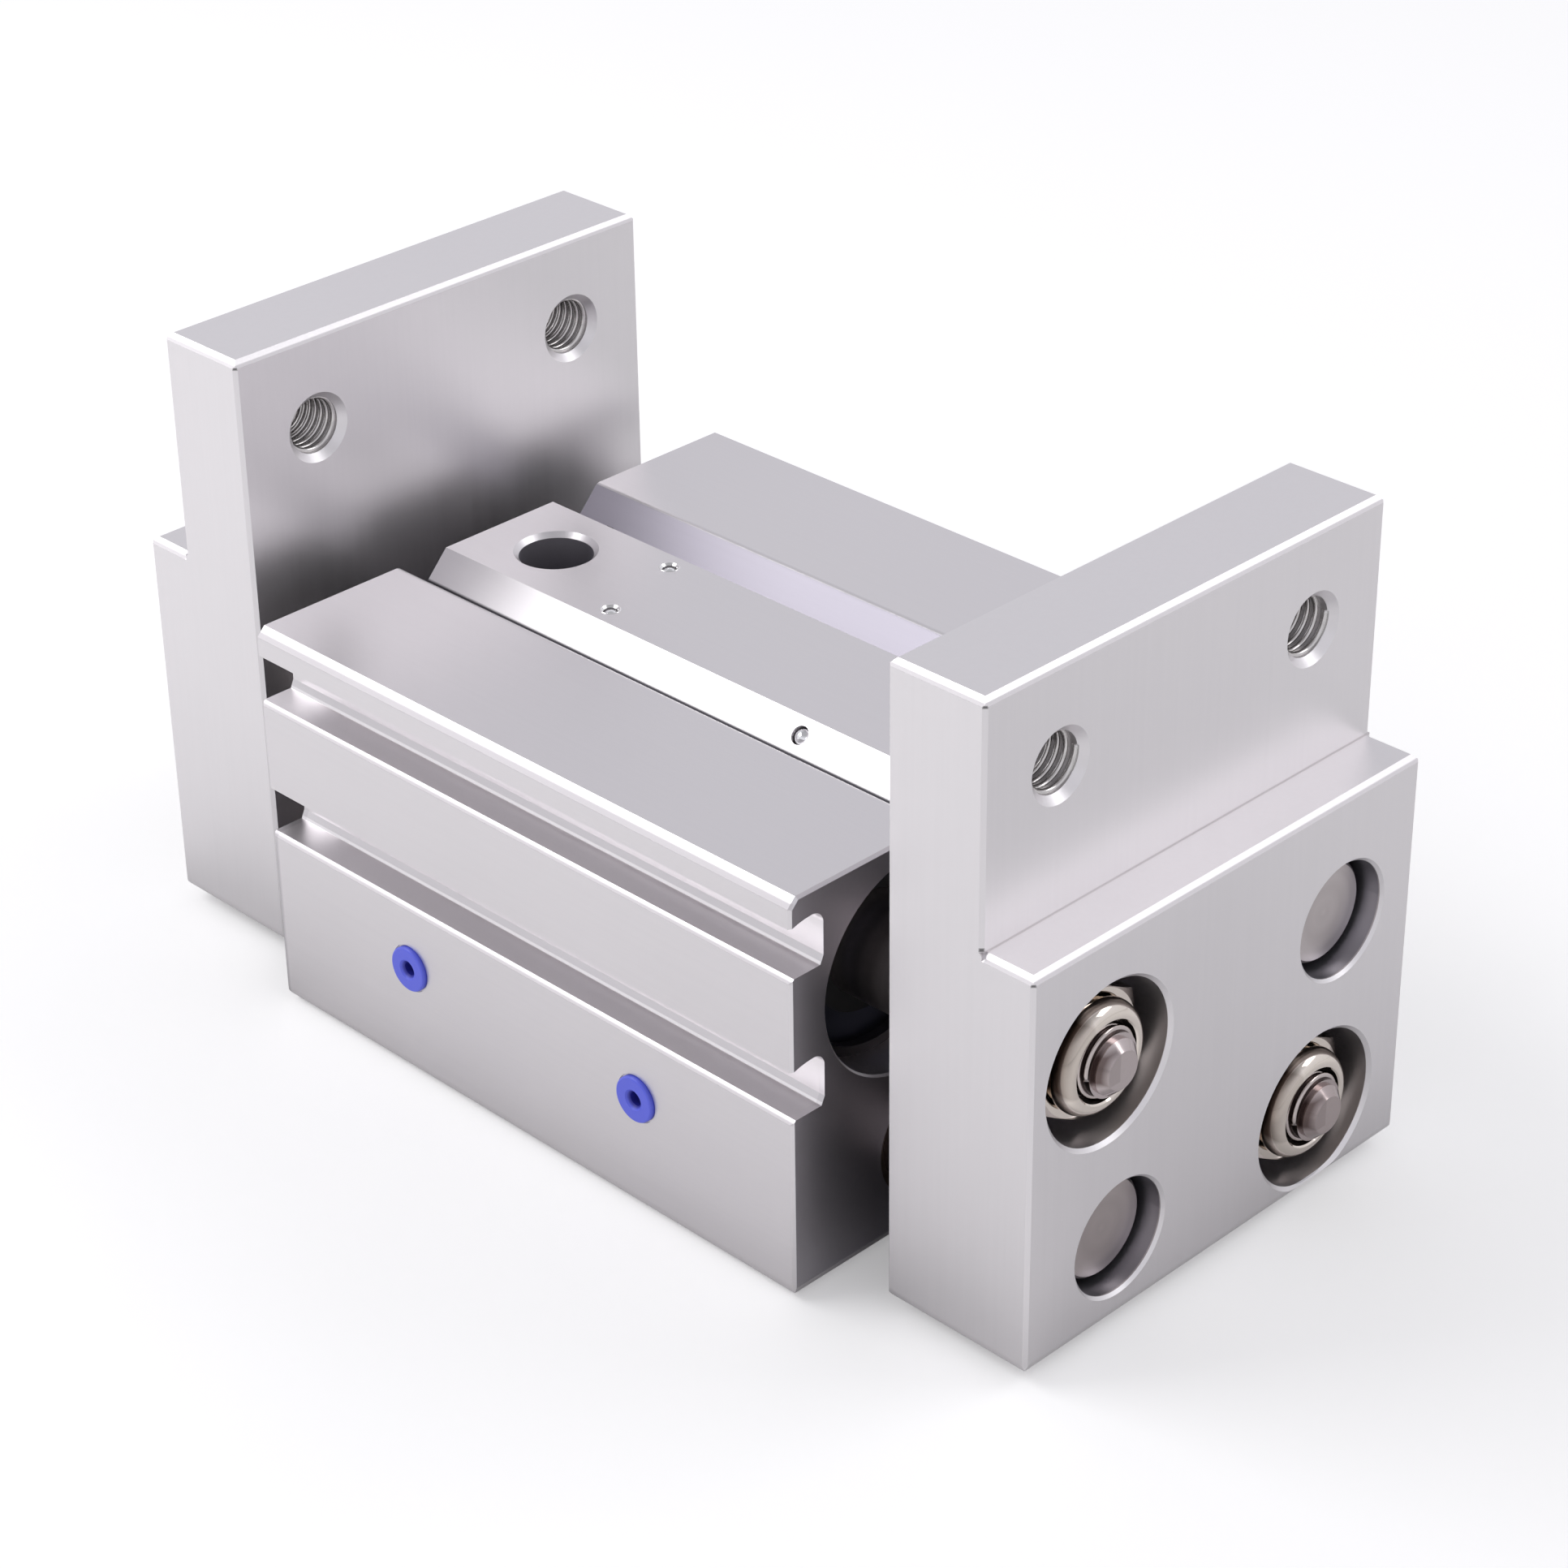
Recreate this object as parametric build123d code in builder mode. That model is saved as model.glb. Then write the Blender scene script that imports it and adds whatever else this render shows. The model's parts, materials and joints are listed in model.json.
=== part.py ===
from build123d import *
from math import atan, cos, pi, radians, sin, sqrt, tan
import os

os.makedirs("parts", exist_ok=True)

# Wide-opening parallel gripper with two pistons and a rack-and-pinion link.
# Origin at the centre of the housing's underside, +X towards the right finger, +Z up.
# All sizes are millimetres.

# housing block
body_length = 100.0
body_width = 86.0
top_edge_chamfer = 1.3
bottom_edge_radius = 2.3
end_edge_chamfer = 0.4

# top grooves, beside the centre strip
strip_half_width = 9.9
land_inner_y = 18.4
groove_depth = 4.0
groove_floor_width = 0.9
land_edge_radius = 1.2

# sensor slots, two along each long side
slot_height = 7.0
slot_depth = 5.6
slot_lower_drop = 13.3
slot_upper_rise = 7.0
slot_mouth_chamfer = 0.6
slot_foot_width = 0.55
slot_foot_rise = 1.2
slot_roof_rise = 0.65
slot_roof_depth = 3.6
slot_arch_share = 0.75
slot_shoulder_drop = 1.4

# cylinder bores and the diagonal layout of the rods
bore_side_wall = 4.9
bore_roof_wall = 2.0
between_bores_wall = 2.33
rack_line_offset = 4.0
rod_diameter = 14.0
rod_edge_chamfer = 0.4
bore_diameter = 25.0
cover_bore_diameter = 30.0
bore_mouth_chamfer = 0.3
chamber_end_gap = 0.5
running_gap = 0.04
seat_gap = 0.02

# rod cover parts
cover_spigot_gap = 0.05
cover_spigot_length = 4.0
cover_length = 14.6
snap_ring_thickness = 1.4
snap_ring_groove_depth = 1.1
snap_ring_band = 2.4
snap_ring_opening = 5.0
snap_ring_eye_radius = 1.7
snap_ring_eye_hole_radius = 0.7
snap_ring_eye_rise = 0.5
rod_bush_wall = 1.5
rod_bush_length = 10.0
rod_seal_width = 3.5
rod_seal_wall = 2.6
seal_to_bush = 1.5
cover_ring_inset = 4.0
cover_ring_play = 0.1
cover_ring_groove_width = 2.6
cover_ring_section = 1.6
cushion_thickness = 3.0
cushion_inner_diameter = 15.6
cushion_outer_diameter = 21.0

# jaw travel from the rest pose, each jaw
jaw_gap_rest = 9.0
close_travel = 8.5
open_travel = 16.5
rod_end_recess = 3.0

# pistons
piston_width = 16.0
piston_gap = 0.08
magnet_sink = 0.3
magnet_offset = -3.4
wear_ring_offset = 1.0
seal_groove_width = 2.4
seal_groove_depth = 2.4
seal_inset = 1.2
magnet_width = 4.0
magnet_depth = 2.6
wear_ring_width = 3.0
wear_ring_depth = 1.2
rod_clip_width = 1.2
rod_clip_groove_depth = 0.6
rod_clip_outer_diameter = 15.2

# fingers
finger_side_inset = 7.0
finger_base_thickness = 23.0
finger_lug_thickness = 15.0
finger_bottom_z = 1.5
lug_rise = 33.0
finger_chamfer = 0.9
finger_vertical_chamfer = 0.5
finger_bottom_radius = 2.1
lug_hole_inset = 13.0
lug_hole_drop = 13.5
lug_thread_diameter = 8.0
lug_hole_chamfer = 1.0
rod_clearance_diameter = 16.0
rod_clearance_chamfer = 0.4
nut_pocket_diameter = 22.0
nut_pocket_depth = 14.0
nut_pocket_chamfer = 0.5
rod_socket_depth = 2.5

# rod studs, lock nuts and spring washers
stud_diameter = 10.0
stud_overhang = 2.0
stud_root_diameter = 8.5
stud_tip_diameter = 7.4
stud_tip_length = 1.6
stud_tip_chamfer = 1.1
stud_tip_flat_diameter = 5.2
washer_thickness = 2.0
washer_diameter = 18.0
washer_dish = 0.35
washer_bore_gap = 0.2
nut_width = 17.0
nut_hex_height = 8.6
nut_collar_base_diameter = 16.4
nut_collar_face_diameter = 14.6
nut_collar_height = 3.0
nut_collar_round = 1.0
nut_mouth_diameter = 10.8
nut_mouth_depth = 1.8
nut_face_rim = 0.2

# rack and pinion
gear_module = 1.25
gear_teeth = 24
pressure_angle = 20.0
gear_backlash = 0.14
gear_width = 10.0
gear_tooth_root = 1.25
gear_foot_sink = 0.6
gear_flank_steps = 6
rack_tooth_count = 13
rack_centre_x = -4.0
rack_bore_gap = 0.3
gear_pocket_gap = 0.5
hub_diameter = 17.0
hub_height = 2.0
pinion_pin_diameter = 8.0
pinion_bush_wall = 2.0
thrust_washer_thickness = 0.8
pin_upper_grip = 9.0
pin_end_gap = 0.6
pin_chamfer = 0.5
rack_bush_wall = 1.5
rack_bush_length = 12.0
rack_bush_inset = 1.0

# pinion cover underneath
pinion_cover_diameter = 39.0
pinion_cover_thickness = 3.6
pinion_cover_recess = 2.2

# ports, air drillings and their plugs
port_inset = 2.0
port_z = 17.3
port_diameter = 5.0
port_depth = 7.0
port_spot_diameter = 6.9
port_spot_depth = 0.3
plug_flange_diameter = 6.5
plug_flange_height = 0.9
plug_dimple_diameter = 2.0
plug_dimple_depth = 2.5
plug_dimple_chamfer = 0.5
plug_edge_radius = 0.3
plug_end_gap = 1.5
air_drill_diameter = 2.5
air_drill_offset = 9.0
ball_diameter = 2.6
ball_sink = 0.15
slant_drill_x = 20.6
slant_drill_length = 27.0
slant_wall_rise = 0.4
top_drill_spots = [(-22.9, 7.1), (-19.6, -6.9)]
top_drill_depth = 17.0

# mounting holes
mount_hole_inset = 12.0
mount_hole_diameter = 10.4
mount_hole_chamfer = 0.7
dowel_to_cover = 7.0
dowel_diameter = 6.0
dowel_depth = 8.0
base_thread_inset = 10.0
base_thread_diameter = 8.0
base_thread_depth = 16.0

# worked out from the sizes above
half_length = body_length / 2
half_width = body_width / 2
rod_radius = rod_diameter / 2
bore_radius = bore_diameter / 2
cover_bore_radius = cover_bore_diameter / 2
cover_groove_radius = cover_bore_radius + snap_ring_groove_depth
pitch_radius = gear_module * gear_teeth / 2
cover_top_z = pinion_cover_recess + pinion_cover_thickness
hub_bottom_z = cover_top_z + thrust_washer_thickness
rack_axis_y = pitch_radius + rack_line_offset
rack_axis_z = hub_bottom_z + hub_height + gear_width / 2
rack_bush_radius = rod_radius + running_gap + rack_bush_wall
piston_axis_y = half_width - cover_groove_radius - bore_side_wall
bore_distance = cover_groove_radius + between_bores_wall + rack_bush_radius
axis_rise = round(sqrt(bore_distance**2 - (piston_axis_y - rack_axis_y) ** 2), 1)
piston_axis_z = rack_axis_z + axis_rise
body_height = piston_axis_z + cover_groove_radius + bore_roof_wall
slot_lower_z = piston_axis_z - slot_lower_drop
slot_upper_z = piston_axis_z + slot_upper_rise
chamber_half_length = (
    (piston_width + close_travel + open_travel) / 2 + cushion_thickness + chamber_end_gap
)
cover_seat_x = chamber_half_length + cover_spigot_length
cover_face_x = cover_seat_x + cover_length
port_x = chamber_half_length - port_inset
air_drill_y = piston_axis_y + air_drill_offset
mount_hole_x = half_length - mount_hole_inset
dowel_x = pinion_cover_diameter / 2 + dowel_to_cover
base_thread_y = half_width - base_thread_inset
finger_width = body_width - 2 * finger_side_inset
finger_top_z = body_height + lug_rise
lug_hole_y = finger_width / 2 - lug_hole_inset
lug_hole_z = finger_top_z - lug_hole_drop
finger_inner_x = half_length + jaw_gap_rest
finger_outer_x = finger_inner_x + finger_base_thickness
nut_seat_x = finger_outer_x - nut_pocket_depth
nut_start_x = nut_seat_x + washer_thickness
nut_face_x = nut_start_x + nut_hex_height + nut_collar_height
piston_centre_x = (close_travel - open_travel) / 2
gear_outer_radius = pitch_radius + gear_module
gear_root_radius = pitch_radius - gear_tooth_root * gear_module
gear_pocket_radius = gear_outer_radius + gear_pocket_gap
gear_bottom_z = rack_axis_z - gear_width / 2
gear_top_z = rack_axis_z + gear_width / 2
gear_pocket_top_z = gear_top_z + thrust_washer_thickness
pin_radius = pinion_pin_diameter / 2
gear_bush_radius = pin_radius + pinion_bush_wall
groove_floor_inner_y = (strip_half_width + land_inner_y - groove_floor_width) / 2
groove_floor_outer_y = groove_floor_inner_y + groove_floor_width
slant_wall_y = (strip_half_width + groove_floor_inner_y) / 2
slant_wall_z = body_height - groove_depth / 2 + slant_wall_rise
rod_free_end_x = -(finger_outer_x - rod_end_recess)
rod_bush_outer_radius = rod_radius + running_gap + rod_bush_wall


def plane_facing_x(x, y=0.0, z=0.0):
    # work plane across the X axis: its x runs along +Y and its y along +Z
    return Plane(origin=(x, y, z), x_dir=(0, 1, 0), z_dir=(1, 0, 0))


def ring_along_x(outer_radius, inner_radius, x_start, x_end, y, z):
    # plain ring or bush lying along X
    with BuildPart() as ring:
        with BuildSketch(plane_facing_x(x_start, y, z)):
            Circle(outer_radius)
            Circle(inner_radius, mode=Mode.SUBTRACT)
        extrude(amount=x_end - x_start)
    return ring.part


def torus_along_x(mean_radius, section_radius, x, y, z):
    # round-section seal ring
    with BuildPart() as ring:
        with BuildSketch(Plane(origin=(x, y, z), x_dir=(1, 0, 0), z_dir=(0, 0, 1))):
            with Locations((0, mean_radius)):
                Circle(section_radius)
        revolve(axis=Axis((x, y, z), (1, 0, 0)), revolution_arc=360)
    return ring.part


def upright_block(low_x, high_x, width, low_z, high_z, corner_chamfer):
    # block with its four upright edges chamfered
    with BuildPart() as block:
        with BuildSketch(Plane.XY.offset(low_z)) as plan:
            with Locations(((low_x + high_x) / 2, 0)):
                Rectangle(high_x - low_x, width)
            chamfer(plan.vertices(), corner_chamfer)
        extrude(amount=high_z - low_z)
    return block.part


def write_node(part, node_name):
    part.label = node_name
    export_step(part, f"parts/{node_name}.step")


def turned(part):
    # the left jaw is the right jaw turned half round the vertical axis
    return part.rotate(Axis.Z, 180)


def make_slot_cutter(side, floor_z):
    # the space of one sensor slot, with its mouth on the +Y or -Y face
    lip_z = floor_z + slot_height
    roof_z = lip_z + slot_roof_rise
    mouth_out = 1.0

    def at(depth, z):
        return (side * (half_width - depth), z)

    with BuildPart() as cutter:
        with BuildSketch(plane_facing_x(-half_length)):
            with BuildLine():
                Polyline(
                    at(0, lip_z),
                    at(-mouth_out, lip_z),
                    at(-mouth_out, floor_z - slot_mouth_chamfer - mouth_out),
                    at(slot_mouth_chamfer, floor_z),
                    at(slot_depth - slot_foot_width, floor_z),
                    at(slot_depth, floor_z + slot_foot_rise),
                    at(slot_depth, lip_z - slot_shoulder_drop),
                )
                ThreePointArc(
                    at(slot_depth, lip_z - slot_shoulder_drop),
                    at((slot_depth + slot_roof_depth) / 2 + slot_foot_width, lip_z),
                    at(slot_roof_depth, roof_z),
                )
                ThreePointArc(
                    at(slot_roof_depth, roof_z),
                    at(slot_roof_depth / 2, lip_z + slot_arch_share * slot_roof_rise),
                    at(0, lip_z),
                )
            make_face()
        extrude(amount=body_length)
    return cutter.part


# Housing block with its grooves, slots, bores and drillings
with BuildPart() as body_housing:
    with BuildSketch(plane_facing_x(-half_length)) as housing_outline:
        with BuildLine():
            Polyline(
                (-half_width, 0),
                (half_width, 0),
                (half_width, body_height),
                (land_inner_y, body_height),
                (groove_floor_outer_y, body_height - groove_depth),
                (groove_floor_inner_y, body_height - groove_depth),
                (strip_half_width, body_height),
                (-strip_half_width, body_height),
                (-groove_floor_inner_y, body_height - groove_depth),
                (-groove_floor_outer_y, body_height - groove_depth),
                (-land_inner_y, body_height),
                (-half_width, body_height),
                close=True,
            )
        make_face()
        top_corners = housing_outline.vertices().group_by(Axis.Y)[-1].sort_by(Axis.X)
        chamfer([top_corners[0], top_corners[-1]], top_edge_chamfer)
        land_edges = housing_outline.vertices().filter_by(
            lambda v: abs(abs(v.X) - land_inner_y) < 0.01
        )
        fillet(land_edges, land_edge_radius)
    extrude(amount=body_length)
    fillet(body_housing.faces().sort_by(Axis.Z)[0].edges(), bottom_edge_radius)
    end_edges = body_housing.faces().filter_by(Axis.X).edges()
    chamfer(
        end_edges.filter_by(lambda e: e.center().Z > body_height - groove_depth - 0.1),
        end_edge_chamfer,
    )
    add(
        upright_block(-half_length, half_length, body_width, 0, body_height, end_edge_chamfer),
        mode=Mode.INTERSECT,
    )
    # sensor slots: flat floor with a small foot facet, arched ceiling that ends in a lip
    for side in (-1, 1):
        for slot_z in (slot_lower_z, slot_upper_z):
            add(make_slot_cutter(side, slot_z), mode=Mode.SUBTRACT)
    # cylinder bores, their wider ends and the snap ring grooves
    for side in (-1, 1):
        with BuildSketch(plane_facing_x(-half_length, side * piston_axis_y, piston_axis_z)):
            Circle(bore_radius)
        extrude(amount=body_length, mode=Mode.SUBTRACT)
        with BuildSketch(plane_facing_x(-half_length, side * rack_axis_y, rack_axis_z)):
            Circle(rod_radius + rack_bore_gap)
        extrude(amount=body_length, mode=Mode.SUBTRACT)
        for end in (-1, 1):
            with BuildSketch(plane_facing_x(end * cover_seat_x, side * piston_axis_y, piston_axis_z)):
                Circle(cover_bore_radius)
            extrude(amount=end * (half_length - cover_seat_x), mode=Mode.SUBTRACT)
            with BuildSketch(plane_facing_x(end * cover_face_x, side * piston_axis_y, piston_axis_z)):
                Circle(cover_groove_radius)
            extrude(amount=end * (snap_ring_thickness + 2 * seat_gap), mode=Mode.SUBTRACT)
            bore_mouths = body_housing.edges().filter_by(GeomType.CIRCLE).filter_by(
                lambda e: abs(e.radius - cover_bore_radius) < 0.01
                and abs(e.arc_center.X - end * half_length) < 0.01
                and abs(e.arc_center.Y - side * piston_axis_y) < 0.01
            )
            chamfer(bore_mouths, bore_mouth_chamfer)
            bush_start = half_length - rack_bush_inset - rack_bush_length
            with BuildSketch(plane_facing_x(end * bush_start, side * rack_axis_y, rack_axis_z)):
                Circle(rack_bush_radius)
            extrude(amount=end * (half_length - bush_start), mode=Mode.SUBTRACT)
    # pinion pocket, cover seat, its snap ring groove and the pin's blind hole
    with BuildSketch(Plane.XY):
        Circle(gear_pocket_radius)
    extrude(amount=gear_pocket_top_z, mode=Mode.SUBTRACT)
    with BuildSketch(Plane.XY):
        Circle(pinion_cover_diameter / 2)
    extrude(amount=cover_top_z, mode=Mode.SUBTRACT)
    with BuildSketch(Plane.XY.offset(pinion_cover_recess - snap_ring_thickness)):
        Circle(pinion_cover_diameter / 2 + snap_ring_groove_depth)
    extrude(amount=snap_ring_thickness, mode=Mode.SUBTRACT)
    with BuildSketch(Plane.XY.offset(gear_pocket_top_z)):
        Circle(pin_radius + seat_gap)
    extrude(amount=pin_upper_grip, mode=Mode.SUBTRACT)
    # ports with spot faces, and the drillings up into the front bore
    for side in (-1, 1):
        port_plane = Plane(
            origin=(side * port_x, -half_width, port_z), x_dir=(1, 0, 0), z_dir=(0, -1, 0)
        )
        with BuildSketch(port_plane):
            Circle(port_spot_diameter / 2)
        extrude(amount=-port_spot_depth, mode=Mode.SUBTRACT)
        with BuildSketch(port_plane):
            Circle(port_diameter / 2)
        extrude(amount=-port_depth, mode=Mode.SUBTRACT)
        with BuildSketch(port_plane):
            Circle(air_drill_diameter / 2)
        extrude(amount=-(half_width - air_drill_y), mode=Mode.SUBTRACT)
        with BuildSketch(Plane(origin=(side * port_x, -air_drill_y, port_z))):
            Circle(air_drill_diameter / 2)
        extrude(amount=piston_axis_z - port_z - bore_radius / 2, mode=Mode.SUBTRACT)
    # slanted link drillings, one from each side of the strip, and two from its top
    for side in (-1, 1):
        slant = Plane(
            origin=(-side * slant_drill_x, side * slant_wall_y, slant_wall_z),
            x_dir=(1, 0, 0),
            z_dir=(0, side, 1),
        )
        with BuildSketch(slant):
            Circle(air_drill_diameter / 2)
        extrude(amount=-slant_drill_length, mode=Mode.SUBTRACT)
        with BuildSketch(slant):
            Circle(ball_diameter / 2 + seat_gap)
        extrude(amount=-ball_diameter - ball_sink, mode=Mode.SUBTRACT)
    for spot in top_drill_spots:
        with BuildSketch(Plane(origin=(spot[0], spot[1], body_height))):
            Circle(air_drill_diameter / 2)
        extrude(amount=-top_drill_depth, mode=Mode.SUBTRACT)
        with BuildSketch(Plane(origin=(spot[0], spot[1], body_height))):
            Circle(ball_diameter / 2 + seat_gap)
        extrude(amount=-ball_diameter - ball_sink, mode=Mode.SUBTRACT)
    # through mounting holes on the centre line, chamfered at the top
    for end in (-1, 1):
        with BuildSketch(Plane(origin=(end * mount_hole_x, 0, 0))):
            Circle(mount_hole_diameter / 2)
        extrude(amount=body_height, mode=Mode.SUBTRACT)
        hole_mouths = body_housing.edges().filter_by(GeomType.CIRCLE).filter_by(
            lambda e: abs(e.radius - mount_hole_diameter / 2) < 0.01
            and abs(e.arc_center.X - end * mount_hole_x) < 0.01
            and e.arc_center.Z > body_height - 0.01
        )
        chamfer(hole_mouths, mount_hole_chamfer)
        # dowel hole and two threaded holes in the underside
        with BuildSketch(Plane(origin=(end * dowel_x, 0, 0))):
            Circle(dowel_diameter / 2)
        extrude(amount=dowel_depth, mode=Mode.SUBTRACT)
        for side in (-1, 1):
            with BuildSketch(Plane(origin=(end * mount_hole_x, side * base_thread_y, 0))):
                Circle(base_thread_diameter / 2)
            extrude(amount=base_thread_depth, mode=Mode.SUBTRACT)
write_node(body_housing.part, "body_housing")


# Rod covers: flanged plug with a spigot, a bush pocket and a seal pocket
cover_sites = [
    ("front_right", -1, 1),
    ("front_left", -1, -1),
    ("back_right", 1, 1),
    ("back_left", 1, -1),
]
rod_seal_outer_radius = rod_radius + running_gap + rod_seal_wall
bush_inner_x = cover_face_x - rod_seal_width - seal_to_bush - rod_bush_length
ring_groove_x = cover_seat_x + cover_ring_inset


def make_rod_cover(side, end):
    y = side * piston_axis_y
    with BuildPart() as cover:
        with BuildSketch(plane_facing_x(end * chamber_half_length, y, piston_axis_z)):
            Circle(bore_radius - cover_spigot_gap)
        extrude(amount=end * (cover_seat_x - chamber_half_length))
        with BuildSketch(plane_facing_x(end * cover_seat_x, y, piston_axis_z)):
            Circle(cover_bore_radius - seat_gap)
        extrude(amount=end * (cover_face_x - cover_seat_x))
        outer_face = cover.faces().filter_by(Axis.X).sort_by(Axis.X)[-1 if end > 0 else 0]
        chamfer(outer_face.edges(), rod_edge_chamfer)
        # passage for the rod
        with BuildSketch(plane_facing_x(end * chamber_half_length, y, piston_axis_z)):
            Circle(rod_radius + 3 * running_gap)
        extrude(amount=end * (cover_face_x - chamber_half_length), mode=Mode.SUBTRACT)
        # bush and seal pockets
        with BuildSketch(plane_facing_x(end * bush_inner_x, y, piston_axis_z)):
            Circle(rod_bush_outer_radius)
        extrude(amount=end * rod_bush_length, mode=Mode.SUBTRACT)
        with BuildSketch(plane_facing_x(end * (cover_face_x - rod_seal_width), y, piston_axis_z)):
            Circle(rod_seal_outer_radius)
        extrude(amount=end * rod_seal_width, mode=Mode.SUBTRACT)
        # groove for the outer seal ring
        with BuildSketch(plane_facing_x(end * ring_groove_x, y, piston_axis_z)):
            Circle(cover_bore_radius + 1)
            Circle(cover_bore_radius - seat_gap - cover_ring_section - cover_ring_play, mode=Mode.SUBTRACT)
        extrude(amount=end * cover_ring_groove_width, mode=Mode.SUBTRACT)
    return cover.part


def make_snap_ring(outer_radius, x, y, z, end, gap_turn):
    # open ring with two eyes beside its gap, which is turned round the X axis from the bottom
    inner_radius = outer_radius - snap_ring_band
    with BuildPart() as ring:
        with BuildSketch(plane_facing_x(x, y, z)):
            Circle(outer_radius)
            Circle(inner_radius, mode=Mode.SUBTRACT)
            with Locations((0, -outer_radius)):
                Rectangle(snap_ring_opening, 3 * snap_ring_band, mode=Mode.SUBTRACT)
            eye_x = snap_ring_opening / 2 + snap_ring_band / 2
            eye_y = inner_radius - snap_ring_eye_rise
            with Locations((eye_x, -eye_y), (-eye_x, -eye_y)):
                Circle(snap_ring_eye_radius)
                Circle(snap_ring_eye_hole_radius, mode=Mode.SUBTRACT)
        extrude(amount=end * snap_ring_thickness)
    return ring.part.rotate(Axis((x, y, z), (1, 0, 0)), gap_turn)


rod_bushes = []
rod_seals = []
cover_rings = []
snap_rings = []
cushion_rings = []
for site_name, side, end in cover_sites:
    write_node(make_rod_cover(side, end), f"rod_cover_{site_name}")
    y = side * piston_axis_y
    rod_bushes.append(
        ring_along_x(
            rod_bush_outer_radius - seat_gap,
            rod_radius + running_gap,
            end * bush_inner_x,
            end * (bush_inner_x + rod_bush_length),
            y,
            piston_axis_z,
        )
    )
    rod_seals.append(
        ring_along_x(
            rod_seal_outer_radius - seat_gap,
            rod_radius + running_gap,
            end * (cover_face_x - rod_seal_width),
            end * cover_face_x,
            y,
            piston_axis_z,
        )
    )
    cover_rings.append(
        torus_along_x(
            cover_bore_radius - cover_ring_section / 2 - seat_gap,
            cover_ring_section / 2,
            end * (ring_groove_x + cover_ring_groove_width / 2),
            y,
            piston_axis_z,
        )
    )
    snap_rings.append(
        make_snap_ring(
            cover_groove_radius - seat_gap,
            end * (cover_face_x + seat_gap),
            y,
            piston_axis_z,
            end,
            -side * 90,
        )
    )
    cushion_rings.append(
        ring_along_x(
            cushion_outer_diameter / 2,
            cushion_inner_diameter / 2,
            end * (chamber_half_length - cushion_thickness),
            end * chamber_half_length,
            y,
            piston_axis_z,
        )
    )
write_node(Compound(children=rod_bushes), "rod_bushes")
write_node(Compound(children=rod_seals), "rod_seals")
write_node(Compound(children=cover_rings), "cover_seal_rings")
write_node(Compound(children=snap_rings), "cover_snap_rings")
write_node(Compound(children=cushion_rings), "cushion_rings")


# Rack rod bushes, pressed into both ends of both rack bores
rack_bushes = []
for side in (-1, 1):
    for end in (-1, 1):
        bush_start = half_length - rack_bush_inset - rack_bush_length
        rack_bushes.append(
            ring_along_x(
                rack_bush_radius - seat_gap,
                rod_radius + running_gap,
                end * bush_start,
                end * (bush_start + rack_bush_length),
                side * rack_axis_y,
                rack_axis_z,
            )
        )
write_node(Compound(children=rack_bushes), "rack_bushes")


def stud_profile(x_shoulder):
    # turned end of a rod: shoulder, length in the nut, thread root past the nut, conical tip
    x_tip = finger_outer_x + stud_overhang
    x_root = nut_face_x - nut_mouth_depth
    return [
        (x_shoulder, rod_radius),
        (x_shoulder, stud_diameter / 2),
        (x_root, stud_diameter / 2),
        (x_root, stud_root_diameter / 2),
        (x_tip - stud_tip_length, stud_root_diameter / 2),
        (x_tip - stud_tip_length, stud_tip_diameter / 2),
        (x_tip - stud_tip_chamfer, stud_tip_diameter / 2),
        (x_tip, stud_tip_flat_diameter / 2),
        (x_tip, 0),
    ]


def make_rod(y, z, grooves):
    # round rod from its free end to the stud, turned about its own axis
    shoulder_x = finger_inner_x + rod_socket_depth
    free_end = [
        (rod_free_end_x, 0),
        (rod_free_end_x, rod_radius - rod_edge_chamfer),
        (rod_free_end_x + rod_edge_chamfer, rod_radius),
    ]
    with BuildPart() as rod:
        with BuildSketch(Plane(origin=(0, y, z), x_dir=(1, 0, 0), z_dir=(0, 0, 1))):
            with BuildLine():
                Polyline(*free_end, *stud_profile(shoulder_x), close=True)
            make_face()
        revolve(axis=Axis((0, y, z), (1, 0, 0)), revolution_arc=360)
        for groove_x in grooves:
            with BuildSketch(plane_facing_x(groove_x, y, z)):
                Circle(rod_radius + 1)
                Circle(rod_radius - rod_clip_groove_depth, mode=Mode.SUBTRACT)
            extrude(amount=rod_clip_width, mode=Mode.SUBTRACT)
    return rod.part


def make_rack_rod():
    # rod with straight-sided rack teeth cut in the side that faces the pinion
    tooth_pitch = pi * gear_module
    half_gap = tooth_pitch / 4 + gear_backlash / 2
    flank = gear_module * tan(radians(pressure_angle))
    tip_y = pitch_radius - gear_module
    root_y = pitch_radius + gear_tooth_root * gear_module
    first_gap = round(rack_centre_x / tooth_pitch) - rack_tooth_count // 2
    flat_start = (first_gap - 0.5) * tooth_pitch
    flat_length = rack_tooth_count * tooth_pitch
    side_y = rack_axis_y - rod_diameter
    rod_solid = make_rod(rack_axis_y, rack_axis_z, [])
    with BuildPart() as rack:
        add(rod_solid)
        with BuildSketch(Plane.XY.offset(rack_axis_z - rod_radius)):
            with Locations((flat_start + flat_length / 2, (side_y + tip_y) / 2)):
                Rectangle(flat_length, tip_y - side_y)
            for index in range(rack_tooth_count):
                centre_x = (first_gap + index) * tooth_pitch
                with BuildLine():
                    Polyline(
                        (centre_x - half_gap - flank, tip_y),
                        (centre_x - half_gap + gear_tooth_root * flank, root_y),
                        (centre_x + half_gap - gear_tooth_root * flank, root_y),
                        (centre_x + half_gap + flank, tip_y),
                        close=True,
                    )
                make_face()
        extrude(amount=rod_diameter, mode=Mode.SUBTRACT)
    return rack.part


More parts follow.
